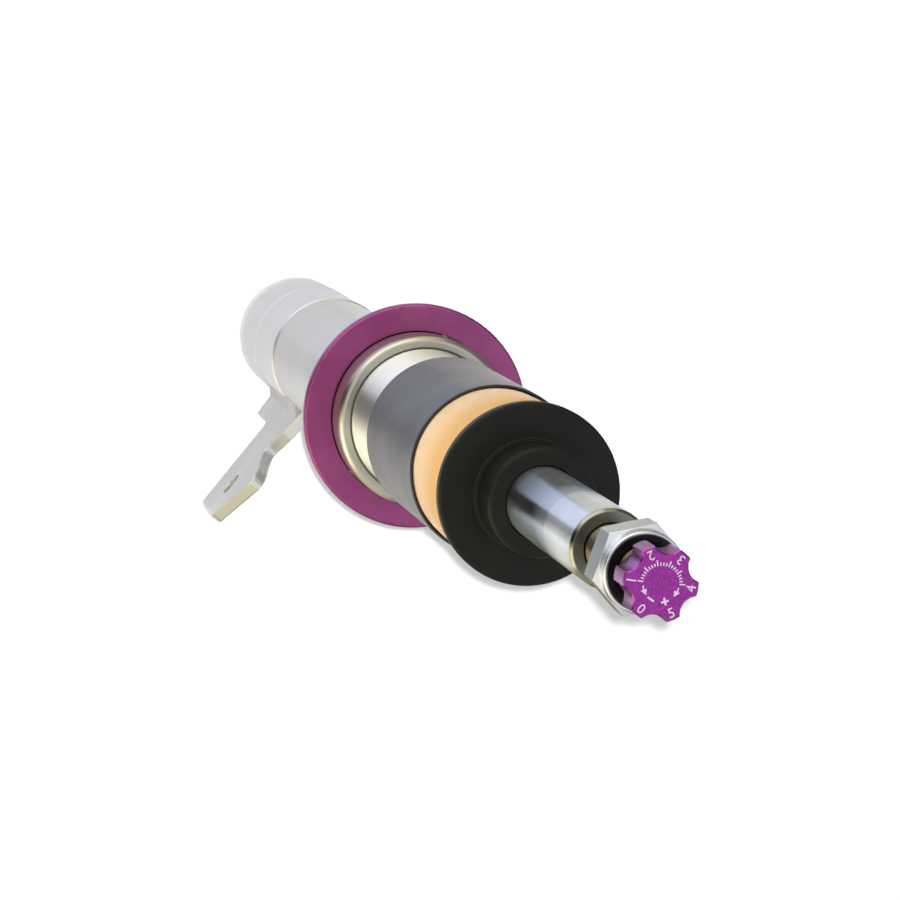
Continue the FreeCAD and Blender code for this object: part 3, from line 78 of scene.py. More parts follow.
Colour = tuple[float, float, float, float]
Tree = bpy.types.NodeTree
Socket = bpy.types.NodeSocket
Mesh = bmesh.types.BMesh
Values = dict[str | int, object]

# Where a mix node has its two colours and their mix; their names are taken by its numbers.
FIRST, SECOND, MIXED = 6, 7, 2
# The length of one wave of Blender's wave texture at scale 1.
WAVE_LENGTH = math.tau / 20
# Noise levels between which a slow patch turns from one colour to the other.
PATCH_RANGE = (0.38, 0.68)
# The same for milled streaks, and how they are drawn out along the axis.
STREAK_RANGE = (0.4, 0.62)
STREAK_SCALE = (1.0, 1.0, 0.03)
# How alike the flat and the rolled direction are where the edge colour begins and where it is
# full; that colour is wear on most finishes and a painted highlight on the bracket.
EDGE_WEAR_AND_HIGHLIGHT_RANGE = (0.995, 0.88)
# Noise levels at which a plated film is thin, even and thick.
FILM_STOPS = (0.32, 0.5, 0.72)
# How much larger than the patches the film's clouds are.
FILM_TO_PATCH = 2.6
# The quarter turn that draws highlights out along the strut.
ALONG_STRUT = 0.25


def linear(code: str) -> Colour:
    """Turns an sRGB hex colour into the linear values that Blender's sockets take.

    Args:
        code: Six hex digits, with or without a leading hash.

    Returns:
        Red, green, blue and an alpha of one.
    """
    code = code.lstrip("#")
    channels = [int(code[i:i + 2], 16) / 255 for i in (0, 2, 4)]
    red, green, blue = [c / 12.92 if c <= 0.04045 else ((c + 0.055) / 1.055) ** 2.4
                        for c in channels]
    return red, green, blue, 1.0


def add_node(tree: Tree, kind: str, inputs: Values | None = None,
             **settings: object) -> bpy.types.Node:
    """Adds a node, sets its options, and sets or links its inputs.

    Args:
        tree: The node tree that gets the node.
        kind: Blender's name of the node's type, without the ShaderNode that all begin with.
        inputs: Input names with a plain value or with the socket that feeds them.
        **settings: The node's own options.

    Returns:
        The new node.
    """
    node = tree.nodes.new("ShaderNode" + kind)
    for name, value in settings.items():
        setattr(node, name, value)
    for name, value in (inputs or {}).items():
        if isinstance(value, Socket):
            tree.links.new(value, node.inputs[name])
        else:
            node.inputs[name].default_value = value
    return node


def bare_tree(owner: bpy.types.ID) -> Tree:
    """Turns on the nodes of a material, world or lamp and clears them.

    Args:
        owner: What has the nodes.

    Returns:
        Its empty tree.
    """
    owner.use_nodes = True
    owner.node_tree.nodes.clear()
    return owner.node_tree


def place_mesh(name: str, mesh: Mesh, material: bpy.types.Material) -> bpy.types.Object:
    """Turns a finished mesh into an object of the scene.

    Args:
        name: The object's name.
        mesh: Its faces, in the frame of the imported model; freed here.
        material: Its material.

    Returns:
        The new object.
    """
    data = bpy.data.meshes.new(name)
    mesh.to_mesh(data)
    mesh.free()
    data.materials.append(material)
    placed = bpy.data.objects.new(name, data)
    bpy.context.collection.objects.link(placed)
    return placed


class Lay(Enum):
    """Which way the tool marks of a machined surface run."""

    FACED = "RINGS"
    TURNED = "BANDS"


@dataclass(frozen=True)
class Finish:
    """What all finishes share: two close colours in slow patches, a shine, and softened edges.

    Attributes:
        name: The material's name.
        slot: The record's material slot; not used.
        colour: The colour of most of the surface.
        shade: The colour of its duller patches.
        metallic: One for bare or anodised metal.
        roughness: How matt the even surface is.
        patch_mm: The size of the patches.
        smear: How much the roughness wanders between the patches.
        edge_mm: The radius at which light rolls round an edge.
        edge_wear_and_highlight: The colour of the edges: wear on most finishes, a painted
            highlight on the bracket.
        edge_wear_and_highlight_share: How much of that colour the edges show.
        gloss: The strength of the clear reflection on what isn't metal; a half is usual.
        end_mm: The level above which the piece looks different; none where it is all alike.
        end_colour: The colour of that upper end; on rod, bush and foam it is painted shade.
        end_roughness: How matt that upper end is; nought where it is as the rest.
        end_blend_mm: Half the height over which the one turns into the other.
        bite: How strongly the small-scale shape of the surface shows.
    """

    name: str
    slot: str
    colour: str
    shade: str
    metallic: float = 0.0
    roughness: float = 0.5
    patch_mm: float = 14.0
    smear: float = 0.05
    edge_mm: float = 0.3
    edge_wear_and_highlight: str = "d8d8da"
    edge_wear_and_highlight_share: float = 0.0
    gloss: float = 0.5
    end_mm: float | None = None
    end_colour: str = "3a3527"
    end_roughness: float = 0.0
    end_blend_mm: float = 0.15
    bite: float = 1.0

    def shader_values(self) -> Values:
        """Gives the shader's further values; a finish that needs some has its own method."""
        return {}

    def heights(self, tree: Tree, place: Socket) -> tuple[Socket, float]:
        """Draws the small-scale shape of the surface; each kind of finish has its own.

        Args:
            tree: The material's tree.
            place: The point on the piece, in metres.

        Returns:
            Heights from 0 to 1, and how deep they are in millimetres.
        """
        raise NotImplementedError

    def relief(self, tree: Tree, place: Socket, normal: Socket) -> Socket:
        """Shapes the surface on a small scale.

        Args:
            tree: The material's tree.
            place: The point on the piece, in metres.
            normal: The direction that the surface faces.

        Returns:
            The direction that the shader takes.
        """
        heights, depth_mm = self.heights(tree, place)
        raised = add_node(tree, "Bump", {
            "Height": heights, "Strength": self.bite, "Distance": depth_mm * MM, "Normal": normal})
        return raised.outputs["Normal"]

    def tint(self, tree: Tree, place: Socket, patches: Socket) -> Socket:
        """Mixes the two colours in slow patches.

        Args:
            tree: The material's tree.
            place: The point on the piece, in metres.
            patches: A value from 0 to 1 that wanders over the piece.

        Returns:
            The surface colour.
        """
        mixed = add_node(tree, "Mix", {
            "Factor": patches, FIRST: linear(self.colour), SECOND: linear(self.shade)},
            data_type="RGBA")
        return mixed.outputs[MIXED]

    def above_end(self, tree: Tree, place: Socket) -> Socket:
        """Tells the upper end from the rest.

        Args:
            tree: The material's tree.
            place: The point on the piece, in metres.

        Returns:
            One above the level where the finish changes, nought below it.
        """
        height = add_node(tree, "SeparateXYZ", {0: place}).outputs["Z"]
        above = add_node(tree, "MapRange", {
            "Value": height, "From Min": (self.end_mm - self.end_blend_mm) * MM,
            "From Max": (self.end_mm + self.end_blend_mm) * MM})
        return above.outputs["Result"]

    def paint_edge_wear_and_highlight(self, tree: Tree, rolled: Socket, colour: Socket) -> Socket:
        """Lets the edge colour through: wear on most finishes, a painted highlight on the bracket.

        Args:
            tree: The material's tree.
            rolled: The direction of the surface with its edges rolled over.
            colour: The surface colour.

        Returns:
            The colour with its edge colour mixed in.
        """
        flat = add_node(tree, "NewGeometry").outputs["Normal"]
        alike = add_node(tree, "VectorMath", {0: rolled, 1: flat},
                         operation="DOT_PRODUCT")
        edge = add_node(tree, "MapRange", {
            "Value": alike.outputs["Value"], "From Min": EDGE_WEAR_AND_HIGHLIGHT_RANGE[0],
            "From Max": EDGE_WEAR_AND_HIGHLIGHT_RANGE[1], "To Max": self.edge_wear_and_highlight_share})
        mixed = add_node(tree, "Mix", {
            "Factor": edge.outputs["Result"], FIRST: colour, SECOND: linear(self.edge_wear_and_highlight)},
            data_type="RGBA")
        return mixed.outputs[MIXED]

    def material(self) -> bpy.types.Material:
        """Makes the material once and gives the same one to every piece that asks.

        Returns:
            The finished material.
        """
        if self.name in bpy.data.materials:
            return bpy.data.materials[self.name]
        made = bpy.data.materials.new(self.name)
        made.diffuse_color = linear(self.colour)
        tree = bare_tree(made)
        place = add_node(tree, "TexCoord").outputs["Object"]
        cloud = add_node(tree, "TexNoise", {
            "Vector": place, "Scale": 1 / (self.patch_mm * MM), "Detail": 4.0, "Roughness": 0.6})
        patches = add_node(tree, "MapRange", {
            "Value": cloud.outputs["Fac"], "From Min": PATCH_RANGE[0],
            "From Max": PATCH_RANGE[1]}).outputs["Result"]
        rolled = add_node(tree, "Bevel", {"Radius": self.edge_mm * MM},
                          samples=4).outputs["Normal"]
        colour = self.tint(tree, place, patches)
        dull = add_node(tree, "MapRange", {
            "Value": patches, "To Min": self.roughness,
            "To Max": self.roughness + self.smear}).outputs["Result"]
        if self.end_mm is not None:
            above = self.above_end(tree, place)
            # On rod, bush and foam this upper-end colour is painted shade.
            colour = add_node(tree, "Mix", {
                "Factor": above, FIRST: colour, SECOND: linear(self.end_colour)},
                data_type="RGBA").outputs[MIXED]
            if self.end_roughness:
                dull = add_node(tree, "Mix", {
                    "Factor": above, "A": dull, "B": self.end_roughness}).outputs["Result"]
        # The edge colour is wear on most finishes and a painted highlight on the bracket.
        if self.edge_wear_and_highlight_share:
            colour = self.paint_edge_wear_and_highlight(tree, rolled, colour)
        shader = add_node(tree, "BsdfPrincipled", {
            "Base Color": colour, "Metallic": self.metallic, "Roughness": dull,
            "Specular IOR Level": self.gloss, "Normal": self.relief(tree, place, rolled),
            **self.shader_values()})
        add_node(tree, "OutputMaterial", {"Surface": shader.outputs["BSDF"]})
        return made


@dataclass(frozen=True)
class Machined(Finish):
    """Metal as it leaves the lathe or the grinding wheel, with fine parallel tool marks.

    Attributes:
        lay: Which way the marks run.
        feed_mm: From one mark to the next, coarser than a real feed so that the marks show.
        depth_mm: How deep the marks are.
        stretch: How strongly highlights are drawn out across the marks, along the strut.
    """

    metallic: float = 1.0
    lay: Lay = Lay.TURNED
    feed_mm: float = 0.6
    depth_mm: float = 0.004
    stretch: float = 0.0

    def shader_values(self) -> Values:
        """Draws the highlights out across the marks."""
        return {"Anisotropic": self.stretch, "Anisotropic Rotation": ALONG_STRUT}

    def heights(self, tree: Tree, place: Socket) -> tuple[Socket, float]:
        """Cuts the tool marks, which wander a little as a real feed does."""
        marks = add_node(tree, "TexWave", {
            "Vector": place, "Scale": WAVE_LENGTH / (self.feed_mm * MM), "Distortion": 1.2,
            "Detail": 2.0, "Detail Scale": 0.6},
            wave_type=self.lay.value, bands_direction="Z", rings_direction="Z")
        return marks.outputs["Fac"], self.depth_mm


@dataclass(frozen=True)
class Anodised(Machined):
    """Aluminium dyed in an oxide film: the metal's sheen under a clear, even colour.

    Attributes:
        film: The strength of the clear film over the dye.
        film_roughness: How matt that film is.
    """

    film: float = 0.25
    film_roughness: float = 0.22

    def shader_values(self) -> Values:
        """Adds the sealed film over the dyed metal."""
        return {**super().shader_values(), "Coat Weight": self.film,
                "Coat Roughness": self.film_roughness}


@dataclass(frozen=True)
class Milled(Anodised):
    """Dyed aluminium cut by a form mill: fine grain on its face, streaks down its side walls.

    Attributes:
        grain_mm: The width of a streak, coarser than a real cutter's so that it shows.
        grain_depth_mm: How deep the streaks are.
    """

    grain_mm: float = 0.42
    grain_depth_mm: float = 0.05

    def grain(self, tree: Tree, place: Socket) -> Socket:
        """Draws a grain out along the axis.

        Args:
            tree: The material's tree.
            place: The point on the piece, in metres.

        Returns:
            A value around a half that changes from one streak to the next.
        """
        drawn = add_node(tree, "Mapping", {"Vector": place, "Scale": STREAK_SCALE})
        return add_node(tree, "TexNoise", {
            "Vector": drawn.outputs["Vector"], "Scale": 1 / (self.grain_mm * MM),
            "Detail": 2.0}).outputs["Fac"]

    def tint(self, tree: Tree, place: Socket, patches: Socket) -> Socket:
        """Takes the dye up darker in some streaks than in others."""
        streaks = add_node(tree, "MapRange", {
            "Value": self.grain(tree, place), "From Min": STREAK_RANGE[0],
            "From Max": STREAK_RANGE[1]})
        return super().tint(tree, place, streaks.outputs["Result"])

    def relief(self, tree: Tree, place: Socket, normal: Socket) -> Socket:
        """Cuts the streaks over the lathe's rings."""
        cut = add_node(tree, "Bump", {
            "Height": self.grain(tree, place), "Strength": 1.0,
            "Distance": self.grain_depth_mm * MM, "Normal": super().relief(tree, place, normal)})
        return cut.outputs["Normal"]


@dataclass(frozen=True)
class Plated(Finish):
    """Zinc plate on drawn or cut steel: a bluish grey that turns cream where the film is thicker.

    Attributes:
        cream: The colour of the thicker film.
        grain_mm: The size of the grain under the plate, coarser than real so that it shows.
        grain_depth_mm: How deep the grain is.
    """

    metallic: float = 1.0
    cream: str = "ece3cc"
    grain_mm: float = 0.7
    grain_depth_mm: float = 0.006

    def tint(self, tree: Tree, place: Socket, patches: Socket) -> Socket:
        """Runs from grey through blue to cream with the thickness of the film.

        Args:
            tree: The material's tree.
            place: The point on the piece, in metres.
            patches: A value from 0 to 1 that wanders over the piece.

        Returns:
            The surface colour.
        """
        film = add_node(tree, "TexNoise", {
            "Vector": place, "Scale": 1 / (FILM_TO_PATCH * self.patch_mm * MM), "Detail": 2.0})
        ramp = add_node(tree, "ValToRGB", {"Fac": film.outputs["Fac"]})
        stops = ramp.color_ramp.elements
        thin, even, thick = FILM_STOPS
        stops[0].position, stops[0].color = thin, linear(self.shade)
        stops[1].position, stops[1].color = thick, linear(self.cream)
        stops.new(even).color = linear(self.colour)
        mixed = add_node(tree, "Mix", {
            "Factor": patches, FIRST: ramp.outputs["Color"], SECOND: linear(self.shade)},
            data_type="RGBA")
        return mixed.outputs[MIXED]

    def heights(self, tree: Tree, place: Socket) -> tuple[Socket, float]:
        """Lets the grain of the steel show through the plate."""
        grain = add_node(tree, "TexNoise", {
            "Vector": place, "Scale": 1 / (self.grain_mm * MM), "Detail": 3.0, "Roughness": 0.55})
        return grain.outputs["Fac"], self.grain_depth_mm


@dataclass(frozen=True)
class WeldMetal(Plated):
    """A weld bead plated over: overlapping ripples along its run.

    Attributes:
        ripple_mm: From one ripple to the next.
        ripple_depth_mm: How deep the ripples are.
    """

    ripple_mm: float = 1.8
    ripple_depth_mm: float = 0.25

    def heights(self, tree: Tree, place: Socket) -> tuple[Socket, float]:
        """Lays the ripples across the run, each bent as the pool froze."""
        ripples = add_node(tree, "TexWave", {
            "Vector": place, "Scale": WAVE_LENGTH / (self.ripple_mm * MM), "Distortion": 2.5,
            "Detail": 1.0, "Detail Scale": 1.4}, wave_type="BANDS", bands_direction="Z")
        return ripples.outputs["Fac"], self.ripple_depth_mm


@dataclass(frozen=True)
class Moulded(Finish):
    """Rubber, nylon or paint with a fine even texture and no metal in it.

    Attributes:
        grit_mm: The size of the texture, coarser than real so that it shows.
        grit_depth_mm: How deep the texture is.
        bloom: A dusty sheen at grazing angles.
    """

    grit_mm: float = 0.5
    grit_depth_mm: float = 0.02
    bloom: float = 0.0

    def shader_values(self) -> Values:
        """Adds the dusty sheen."""
        return {"Sheen Weight": self.bloom, "Sheen Roughness": 0.5}

    def heights(self, tree: Tree, place: Socket) -> tuple[Socket, float]:
        """Gives the surface the texture of its mould or spray."""
        grit = add_node(tree, "TexNoise", {
            "Vector": place, "Scale": 1 / (self.grit_mm * MM), "Detail": 4.0, "Roughness": 0.65})
        return grit.outputs["Fac"], self.grit_depth_mm


@dataclass(frozen=True)
class Foamed(Finish):
    """Microcellular polyurethane: a soft amber skin full of fine cells.

    Attributes:
        cell_mm: The size of the cells, drawn coarser than the real 0.2 mm so that they show.
        cell_depth_mm: How deep an open cell is.
        glow_mm: How far light travels under the skin.
    """

    cell_mm: float = 0.55
    cell_depth_mm: float = 0.09
    glow_mm: float = 1.6
    bite: float = 0.8

    def shader_values(self) -> Values:
        """Lets light travel under the skin."""
        return {"Subsurface Weight": 0.2, "Subsurface Scale": self.glow_mm * MM,
                "Subsurface Radius": (1.0, 0.6, 0.3), "Sheen Weight": 0.15}

    def heights(self, tree: Tree, place: Socket) -> tuple[Socket, float]:
        """Opens the cells of the skin."""
        cells = add_node(tree, "TexVoronoi", {
            "Vector": place, "Scale": 1 / (self.cell_mm * MM)}, feature="SMOOTH_F1")
        return cells.outputs["Distance"], self.cell_depth_mm


# Zinc-plated steel, trivalent passivated: soft reflections, even light grey.
ZINC_PLATE = Plated("zinc_plated_steel", "zinc_plated_steel", "bbbbbd", "b4b4b7", roughness=0.34,
                    patch_mm=30, smear=0.05, cream="c8c5ba")
# The same on the flat bracket: paler; the cream along its cut edges is a painted highlight.
ZINC_BRACKET = replace(ZINC_PLATE, name="zinc_plated_bracket", colour="d6d7d9", shade="cecfd2",
                       cream="dddbd4", edge_mm=1.0, edge_wear_and_highlight="fff4d6", edge_wear_and_highlight_share=0.8)
# Weld metal plated over: the same plate, duller on the ripples.
WELD_METAL = WeldMetal("weld_metal_plated", "weld_metal", "c0c0c1", "b3b3b5", roughness=0.42,
                       cream="c9c6ba")
# Plated tube, polished: an even near-mirror drawn out along the axis; its upper end is duller and
# shows broad light and dark bands.
POLISHED_TUBE = Machined("polished_plated_steel", "polished_steel", "d8d8da", "d2d2d5",
                         roughness=0.15, patch_mm=40, smear=0.02, feed_mm=0.8, depth_mm=0.0005,
                         stretch=1.0, end_mm=280.0, end_colour="dad9d7", end_roughness=0.45,
                         end_blend_mm=6.0)
# Silver-anodised aluminium, turned: warm silver with soft bands round the sleeve.
SILVER_ANODISED = Anodised("silver_anodised_aluminium", "silver_anodised", "b7b4a8", "afaca0",
                           roughness=0.3, patch_mm=30, smear=0.04, feed_mm=0.7, depth_mm=0.002,
                           film=0.1, stretch=0.5)
# Purple-anodised aluminium, faced on the lathe: plum with fine rings and a lighter edge.
PURPLE_ANODISED = Anodised("purple_anodised_aluminium", "purple_anodised", "9a4c80", "8e4376",
                           roughness=0.42, feed_mm=0.8, depth_mm=0.004, lay=Lay.FACED,
                           edge_wear_and_highlight="b98ab0", edge_wear_and_highlight_share=0.6, film=0.15)
# Bright-dipped purple-anodised aluminium, milled: vivid violet with darker streaks, which read as
# grain on its face and flash on its side walls.
DIAL_ANODISED = Milled("bright_purple_anodised_aluminium", "dial_purple", "9f369d", "84298a",
                       roughness=0.3, feed_mm=0.45, depth_mm=0.002, lay=Lay.FACED, patch_mm=6,
                       smear=0.03, edge_mm=0.1, edge_wear_and_highlight="c78fc8", edge_wear_and_highlight_share=0.15, film=0.3)
# Silver-filled laser marking: pale, matt and even.
LASER_MARK = Moulded("silver_filled_marking", "dial_purple", "efe6ee", "e2d8e2", roughness=0.55,
                     patch_mm=2, edge_mm=0.01, grit_mm=0.15, grit_depth_mm=0.004)
# Hard chrome, ground and superfinished: a blue-white mirror with hair-fine lines round the rod; the
# stud above the bush is turned, and its olive brown is painted shade under the nut.
HARD_CHROME = Machined("ground_hard_chrome", "hard_chrome", "ccd3de", "c3cbd7", roughness=0.21,
                       patch_mm=26, smear=0.02, feed_mm=0.55, depth_mm=0.0004, stretch=0.9,
                       end_mm=572.0, end_colour="6e6750")
# Zinc-phosphated steel, oiled black: olive black, dull, with rims rubbed to grey.
BLACK_PHOSPHATE = Moulded("black_phosphated_steel", "black_coat", "181913", "12130f",
                          roughness=0.46, smear=0.06, grit_mm=0.45, grit_depth_mm=0.008,
                          edge_wear_and_highlight="6f6f68", edge_wear_and_highlight_share=0.3, gloss=0.2)
# Microcellular polyurethane foam, moulded: peach with fine cells; the deeper amber towards the
# plate is painted shade under it.
FOAM = Foamed("moulded_urethane_foam", "amber_foam", "fbd3a0", "f7ca8e", roughness=0.72,
              patch_mm=22, smear=0.08, edge_mm=0.6, end_mm=449.0, end_colour="f0b458",
              end_blend_mm=9.0)
# Thermoplastic elastomer, moulded: dark grey with a soft shine and darker rims.
GREY_ELASTOMER = Moulded("moulded_grey_elastomer", "grey_sleeve", "303034", "2c2c30",
                         roughness=0.36, patch_mm=24, smear=0.04, grit_mm=0.5,
                         grit_depth_mm=0.004, edge_wear_and_highlight="161617", edge_wear_and_highlight_share=0.6)
# Polyamide locking ring, moulded: plain black.
BLACK_NYLON = Moulded("moulded_black_nylon", "black_nylon", "08080a", "0d0d10", roughness=0.3,
                      patch_mm=3, gloss=0.3)
# Nitrile rubber, moulded: black and slightly dusty.
SEAL_RUBBER = Moulded("moulded_nitrile_rubber", "seal_rubber", "18181a", "202022", roughness=0.6,
                      bloom=0.2)
# Zinc-plated steel of nut and inner parts, turned: bright blue-white with soft rings.
TURNED_STEEL = Machined("turned_zinc_plated_steel", "bright_steel", "dcdfe3", "d3d6da",
                        roughness=0.3, patch_mm=16, smear=0.03, feed_mm=0.5, depth_mm=0.0012,
                        edge_mm=0.35, stretch=0.4)
# The same on the bush, turned finer: crisper light and dark bands, and an end face darkened with
# painted shade under the nut.
BUSH_STEEL = replace(TURNED_STEEL, name="turned_bush_steel", roughness=0.22, stretch=0.7,
                     end_mm=571.9, end_colour="8a8980")
# Hardened spring steel, blued: blue-grey strip.
SPRING_STEEL = Machined("hardened_spring_steel", "spring_steel", "8f929c", "7c7f8b", roughness=0.3)
# Sintered iron, steam treated: grey and finely pitted.
SINTERED_IRON = Moulded("sintered_iron", "sintered_iron", "5e5e60", "4c4c4e", metallic=0.8,
                        roughness=0.5, grit_mm=0.35, grit_depth_mm=0.03)
# Alloy steel screws, black oxide: near black with a dull shine.
BLACK_OXIDE = Moulded("black_oxide_steel", "black_screw", "17181a", "202124", metallic=0.6,
                      roughness=0.35, edge_wear_and_highlight="6d6e70", edge_wear_and_highlight_share=0.3)
# Gland nut, turned and phosphated: dark grey metal.
GLAND_STEEL = Machined("turned_phosphated_steel", "gland_steel", "7b7b7f", "66666a", roughness=0.35)
# Sintered bronze bush: warm brown metal.
SINTERED_BRONZE = Machined("sintered_bronze", "bearing_bronze", "bd9560", "a98252", roughness=0.4)
# Turned brass needle: yellow metal with fine rings.
TURNED_BRASS = Machined("turned_brass", "needle_brass", "e0c888", "d1b676", roughness=0.25)
# Turned aluminium shaft: pale grey metal.
TURNED_ALUMINIUM = Machined("turned_aluminium", "shaft_aluminium", "d6d7d9", "c8c9cc",
                            roughness=0.28)
# Filled PTFE band: brown, waxy plastic.
FILLED_PTFE = Moulded("filled_ptfe", "slide_band", "5a3a22", "4c311d", roughness=0.45)


def dress(frame: dict, finishes: dict[Finish, tuple[str, ...]]) -> None:
    """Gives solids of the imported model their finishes.

    Args:
        frame: What the loaded frame holds.
        finishes: Each finish with the nodes that have it.
    """
    for finish, nodes in finishes.items():
        for node in nodes:
            mesh = frame["nodes"][node].data
            mesh.materials.clear()
            mesh.materials.append(finish.material())
            LOG.info("%s: %s", node, finish.name)


def make_piece(name: str, mesh: Mesh, finish: Finish, body: str) -> bpy.types.Object:
    """Turns a finished mesh into a piece that rides on a body.

    Args:
        name: The piece's name.
        mesh: Its faces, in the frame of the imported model; freed here.
        finish: Its finish.
        body: The body that it moves with.

    Returns:
        The new piece.
    """
    piece = place_mesh(name, mesh, finish.material())
    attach(piece, body)
    LOG.info("%s: made, %s", name, finish.name)
    return piece


@dataclass
class Foot:
    """The clamped foot with its link bracket, and the plain tube above it."""

    def build(self, frame: dict) -> None:
        """Dresses foot, bracket, welds and tube."""
        dress(frame, {
            ZINC_PLATE: ("foot_sleeve", "base_cap"),
            ZINC_BRACKET: ("link_bracket",),
            WELD_METAL: ("bracket_welds",),
            POLISHED_TUBE: ("housing_tube",),
            SPRING_STEEL: ("sleeve_snap_ring", "foot_valve_shims"),
            TURNED_STEEL: ("inner_tube",),
            SINTERED_IRON: ("foot_valve_body",),
            BLACK_OXIDE: ("foot_valve_bolt",)})


@dataclass
class SeatAdjuster:
    """The threaded sleeve, the flange for the road spring and the rings that carry it."""

    def build(self, frame: dict) -> None:
        """Dresses sleeve, flange, rings and grub screw."""
        dress(frame, {
            SILVER_ANODISED: ("threaded_sleeve",),
            PURPLE_ANODISED: ("spring_seat", "adjuster_ring", "lock_ring"),
            BLACK_OXIDE: ("lock_screw",)})


@dataclass
class TubeHead:
    """The closed upper end of the tube: guide, seals and gland nut."""

    def build(self, frame: dict) -> None:
        """Dresses guide, bush, seals and gland nut."""
        dress(frame, {
            SINTERED_IRON: ("rod_guide",),
            SINTERED_BRONZE: ("guide_bush",),
            SEAL_RUBBER: ("guide_oring", "rod_seal", "wiper_seal"),
            GLAND_STEEL: ("gland_nut",)})


@dataclass
class BumpStop:
    """The foam bump stop with its dust sleeve and the plate that squeezes it.

    Attributes:
        bore_mm: Radius of the hole for the rod.
        radius_mm: Outer radius.
        foot_mm: Level of its lower end, on the gland nut.
        top_mm: Level of its upper end, under the plate.
        waists_mm: Levels of its two waists.
        waist_depth_mm: How deep a waist is.
        waist_half_mm: Half a waist's height.
        rim_mm: Rounding of the upper rim.
        stroke_mm: How far the rod squeezes it; not used.
        ripple_mm: How uneven the moulded skin is.
        ripple_rate: How fast that changes, per millimetre.
        around: Points round the foam.
        side_steps: Steps up its side.
        rim_steps: Steps over its rim.
    """

    bore_mm: float = 11.4
    radius_mm: float = 26.4
    foot_mm: float = 360.5
    top_mm: float = 472.7
    waists_mm: tuple[float, ...] = (381.0, 405.0)
    waist_depth_mm: float = 3.8
    waist_half_mm: float = 7.0
    rim_mm: float = 5.0
    stroke_mm: float = 78.0
    ripple_mm: float = 0.12
    ripple_rate: float = 0.11
    around: int = 144
    side_steps: int = 84
    rim_steps: int = 8

    def skin_radius(self, level: float) -> float:
        """Gives the outer radius at a level.

        Args:
            level: A level in millimetres.

        Returns:
            The radius in millimetres, drawn in at the waists and rounded at the rim.
        """
        radius = self.radius_mm - self.ripple_mm
        for waist in self.waists_mm:
            near = abs(level - waist) / self.waist_half_mm
            if near < 1:
                radius -= self.waist_depth_mm * (0.5 + 0.5 * math.cos(math.pi * near))
        above = level - (self.top_mm - self.rim_mm)
        if above > 0:
            radius -= self.rim_mm - math.sqrt(max(self.rim_mm ** 2 - above ** 2, 0.0))
        return radius

    def outline(self) -> list[tuple[float, float]]:
        """Runs round half the foam's section.

        Returns:
            Radius and level of each point in millimetres, from the bore's foot outwards.
        """
        straight = self.top_mm - self.rim_mm - self.foot_mm
        side = [self.foot_mm + straight * i / self.side_steps for i in range(self.side_steps + 1)]
        rim = [self.top_mm - self.rim_mm * (1 - math.sin(math.pi / 2 * i / self.rim_steps))
               for i in range(1, self.rim_steps + 1)]
        outer = [(self.skin_radius(level), level) for level in side + rim]
        bore = [(self.bore_mm, level) for level in reversed(side + rim)]
        return outer + bore

    def build_foam(self) -> bpy.types.Object:
        """Turns the foam's section round the strut, slightly uneven as moulded foam is.

        Returns:
            The foam piece.
        """
        mesh = bmesh.new()
        section = self.outline()
        columns = []
        for i in range(self.around):
            turn = math.tau * i / self.around
            column = []
            for radius, level in section:
                point = Vector((math.cos(turn) * radius, math.sin(turn) * radius, level))
                if radius > self.bore_mm:
                    uneven = self.ripple_mm * noise.noise(point * self.ripple_rate)
                    point.xy *= 1 + uneven / radius
                column.append(mesh.verts.new(point * MM))
            columns.append(column)
        for i, column in enumerate(columns):
            beside = columns[(i + 1) % self.around]
            for k in range(len(section)):
                up = (k + 1) % len(section)
                mesh.faces.new((column[k], beside[k], beside[up], column[up])).smooth = True
        bmesh.ops.recalc_face_normals(mesh, faces=mesh.faces)
        foam = make_piece("bump_stop_foam", mesh, FOAM, "housing")
        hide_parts("bump_stop")
        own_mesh(foam)
        return foam

    def build(self, frame: dict) -> None:
        """Makes the foam and dresses sleeve and plate."""
        self.build_foam()
        dress(frame, {GREY_ELASTOMER: ("dust_sleeve",), BLACK_PHOSPHATE: ("bump_plate",)})


@dataclass
class RodEnd:
    """The piston rod with its bush and lock nut, and what it carries inside the tube."""

    def build(self, frame: dict) -> None:
        """Dresses rod, bush, nut, piston and stops."""
        dress(frame, {
            HARD_CHROME: ("piston_rod",),
            BUSH_STEEL: ("spacer_bush",),
            TURNED_STEEL: ("top_lock_nut", "rebound_stop_ring", "piston_nut"),
            BLACK_NYLON: ("nut_insert",),
            SEAL_RUBBER: ("rebound_bumper",),
            SINTERED_IRON: ("piston",),
            FILLED_PTFE: ("piston_band",),
            SPRING_STEEL: ("compression_shims", "rebound_shims")})


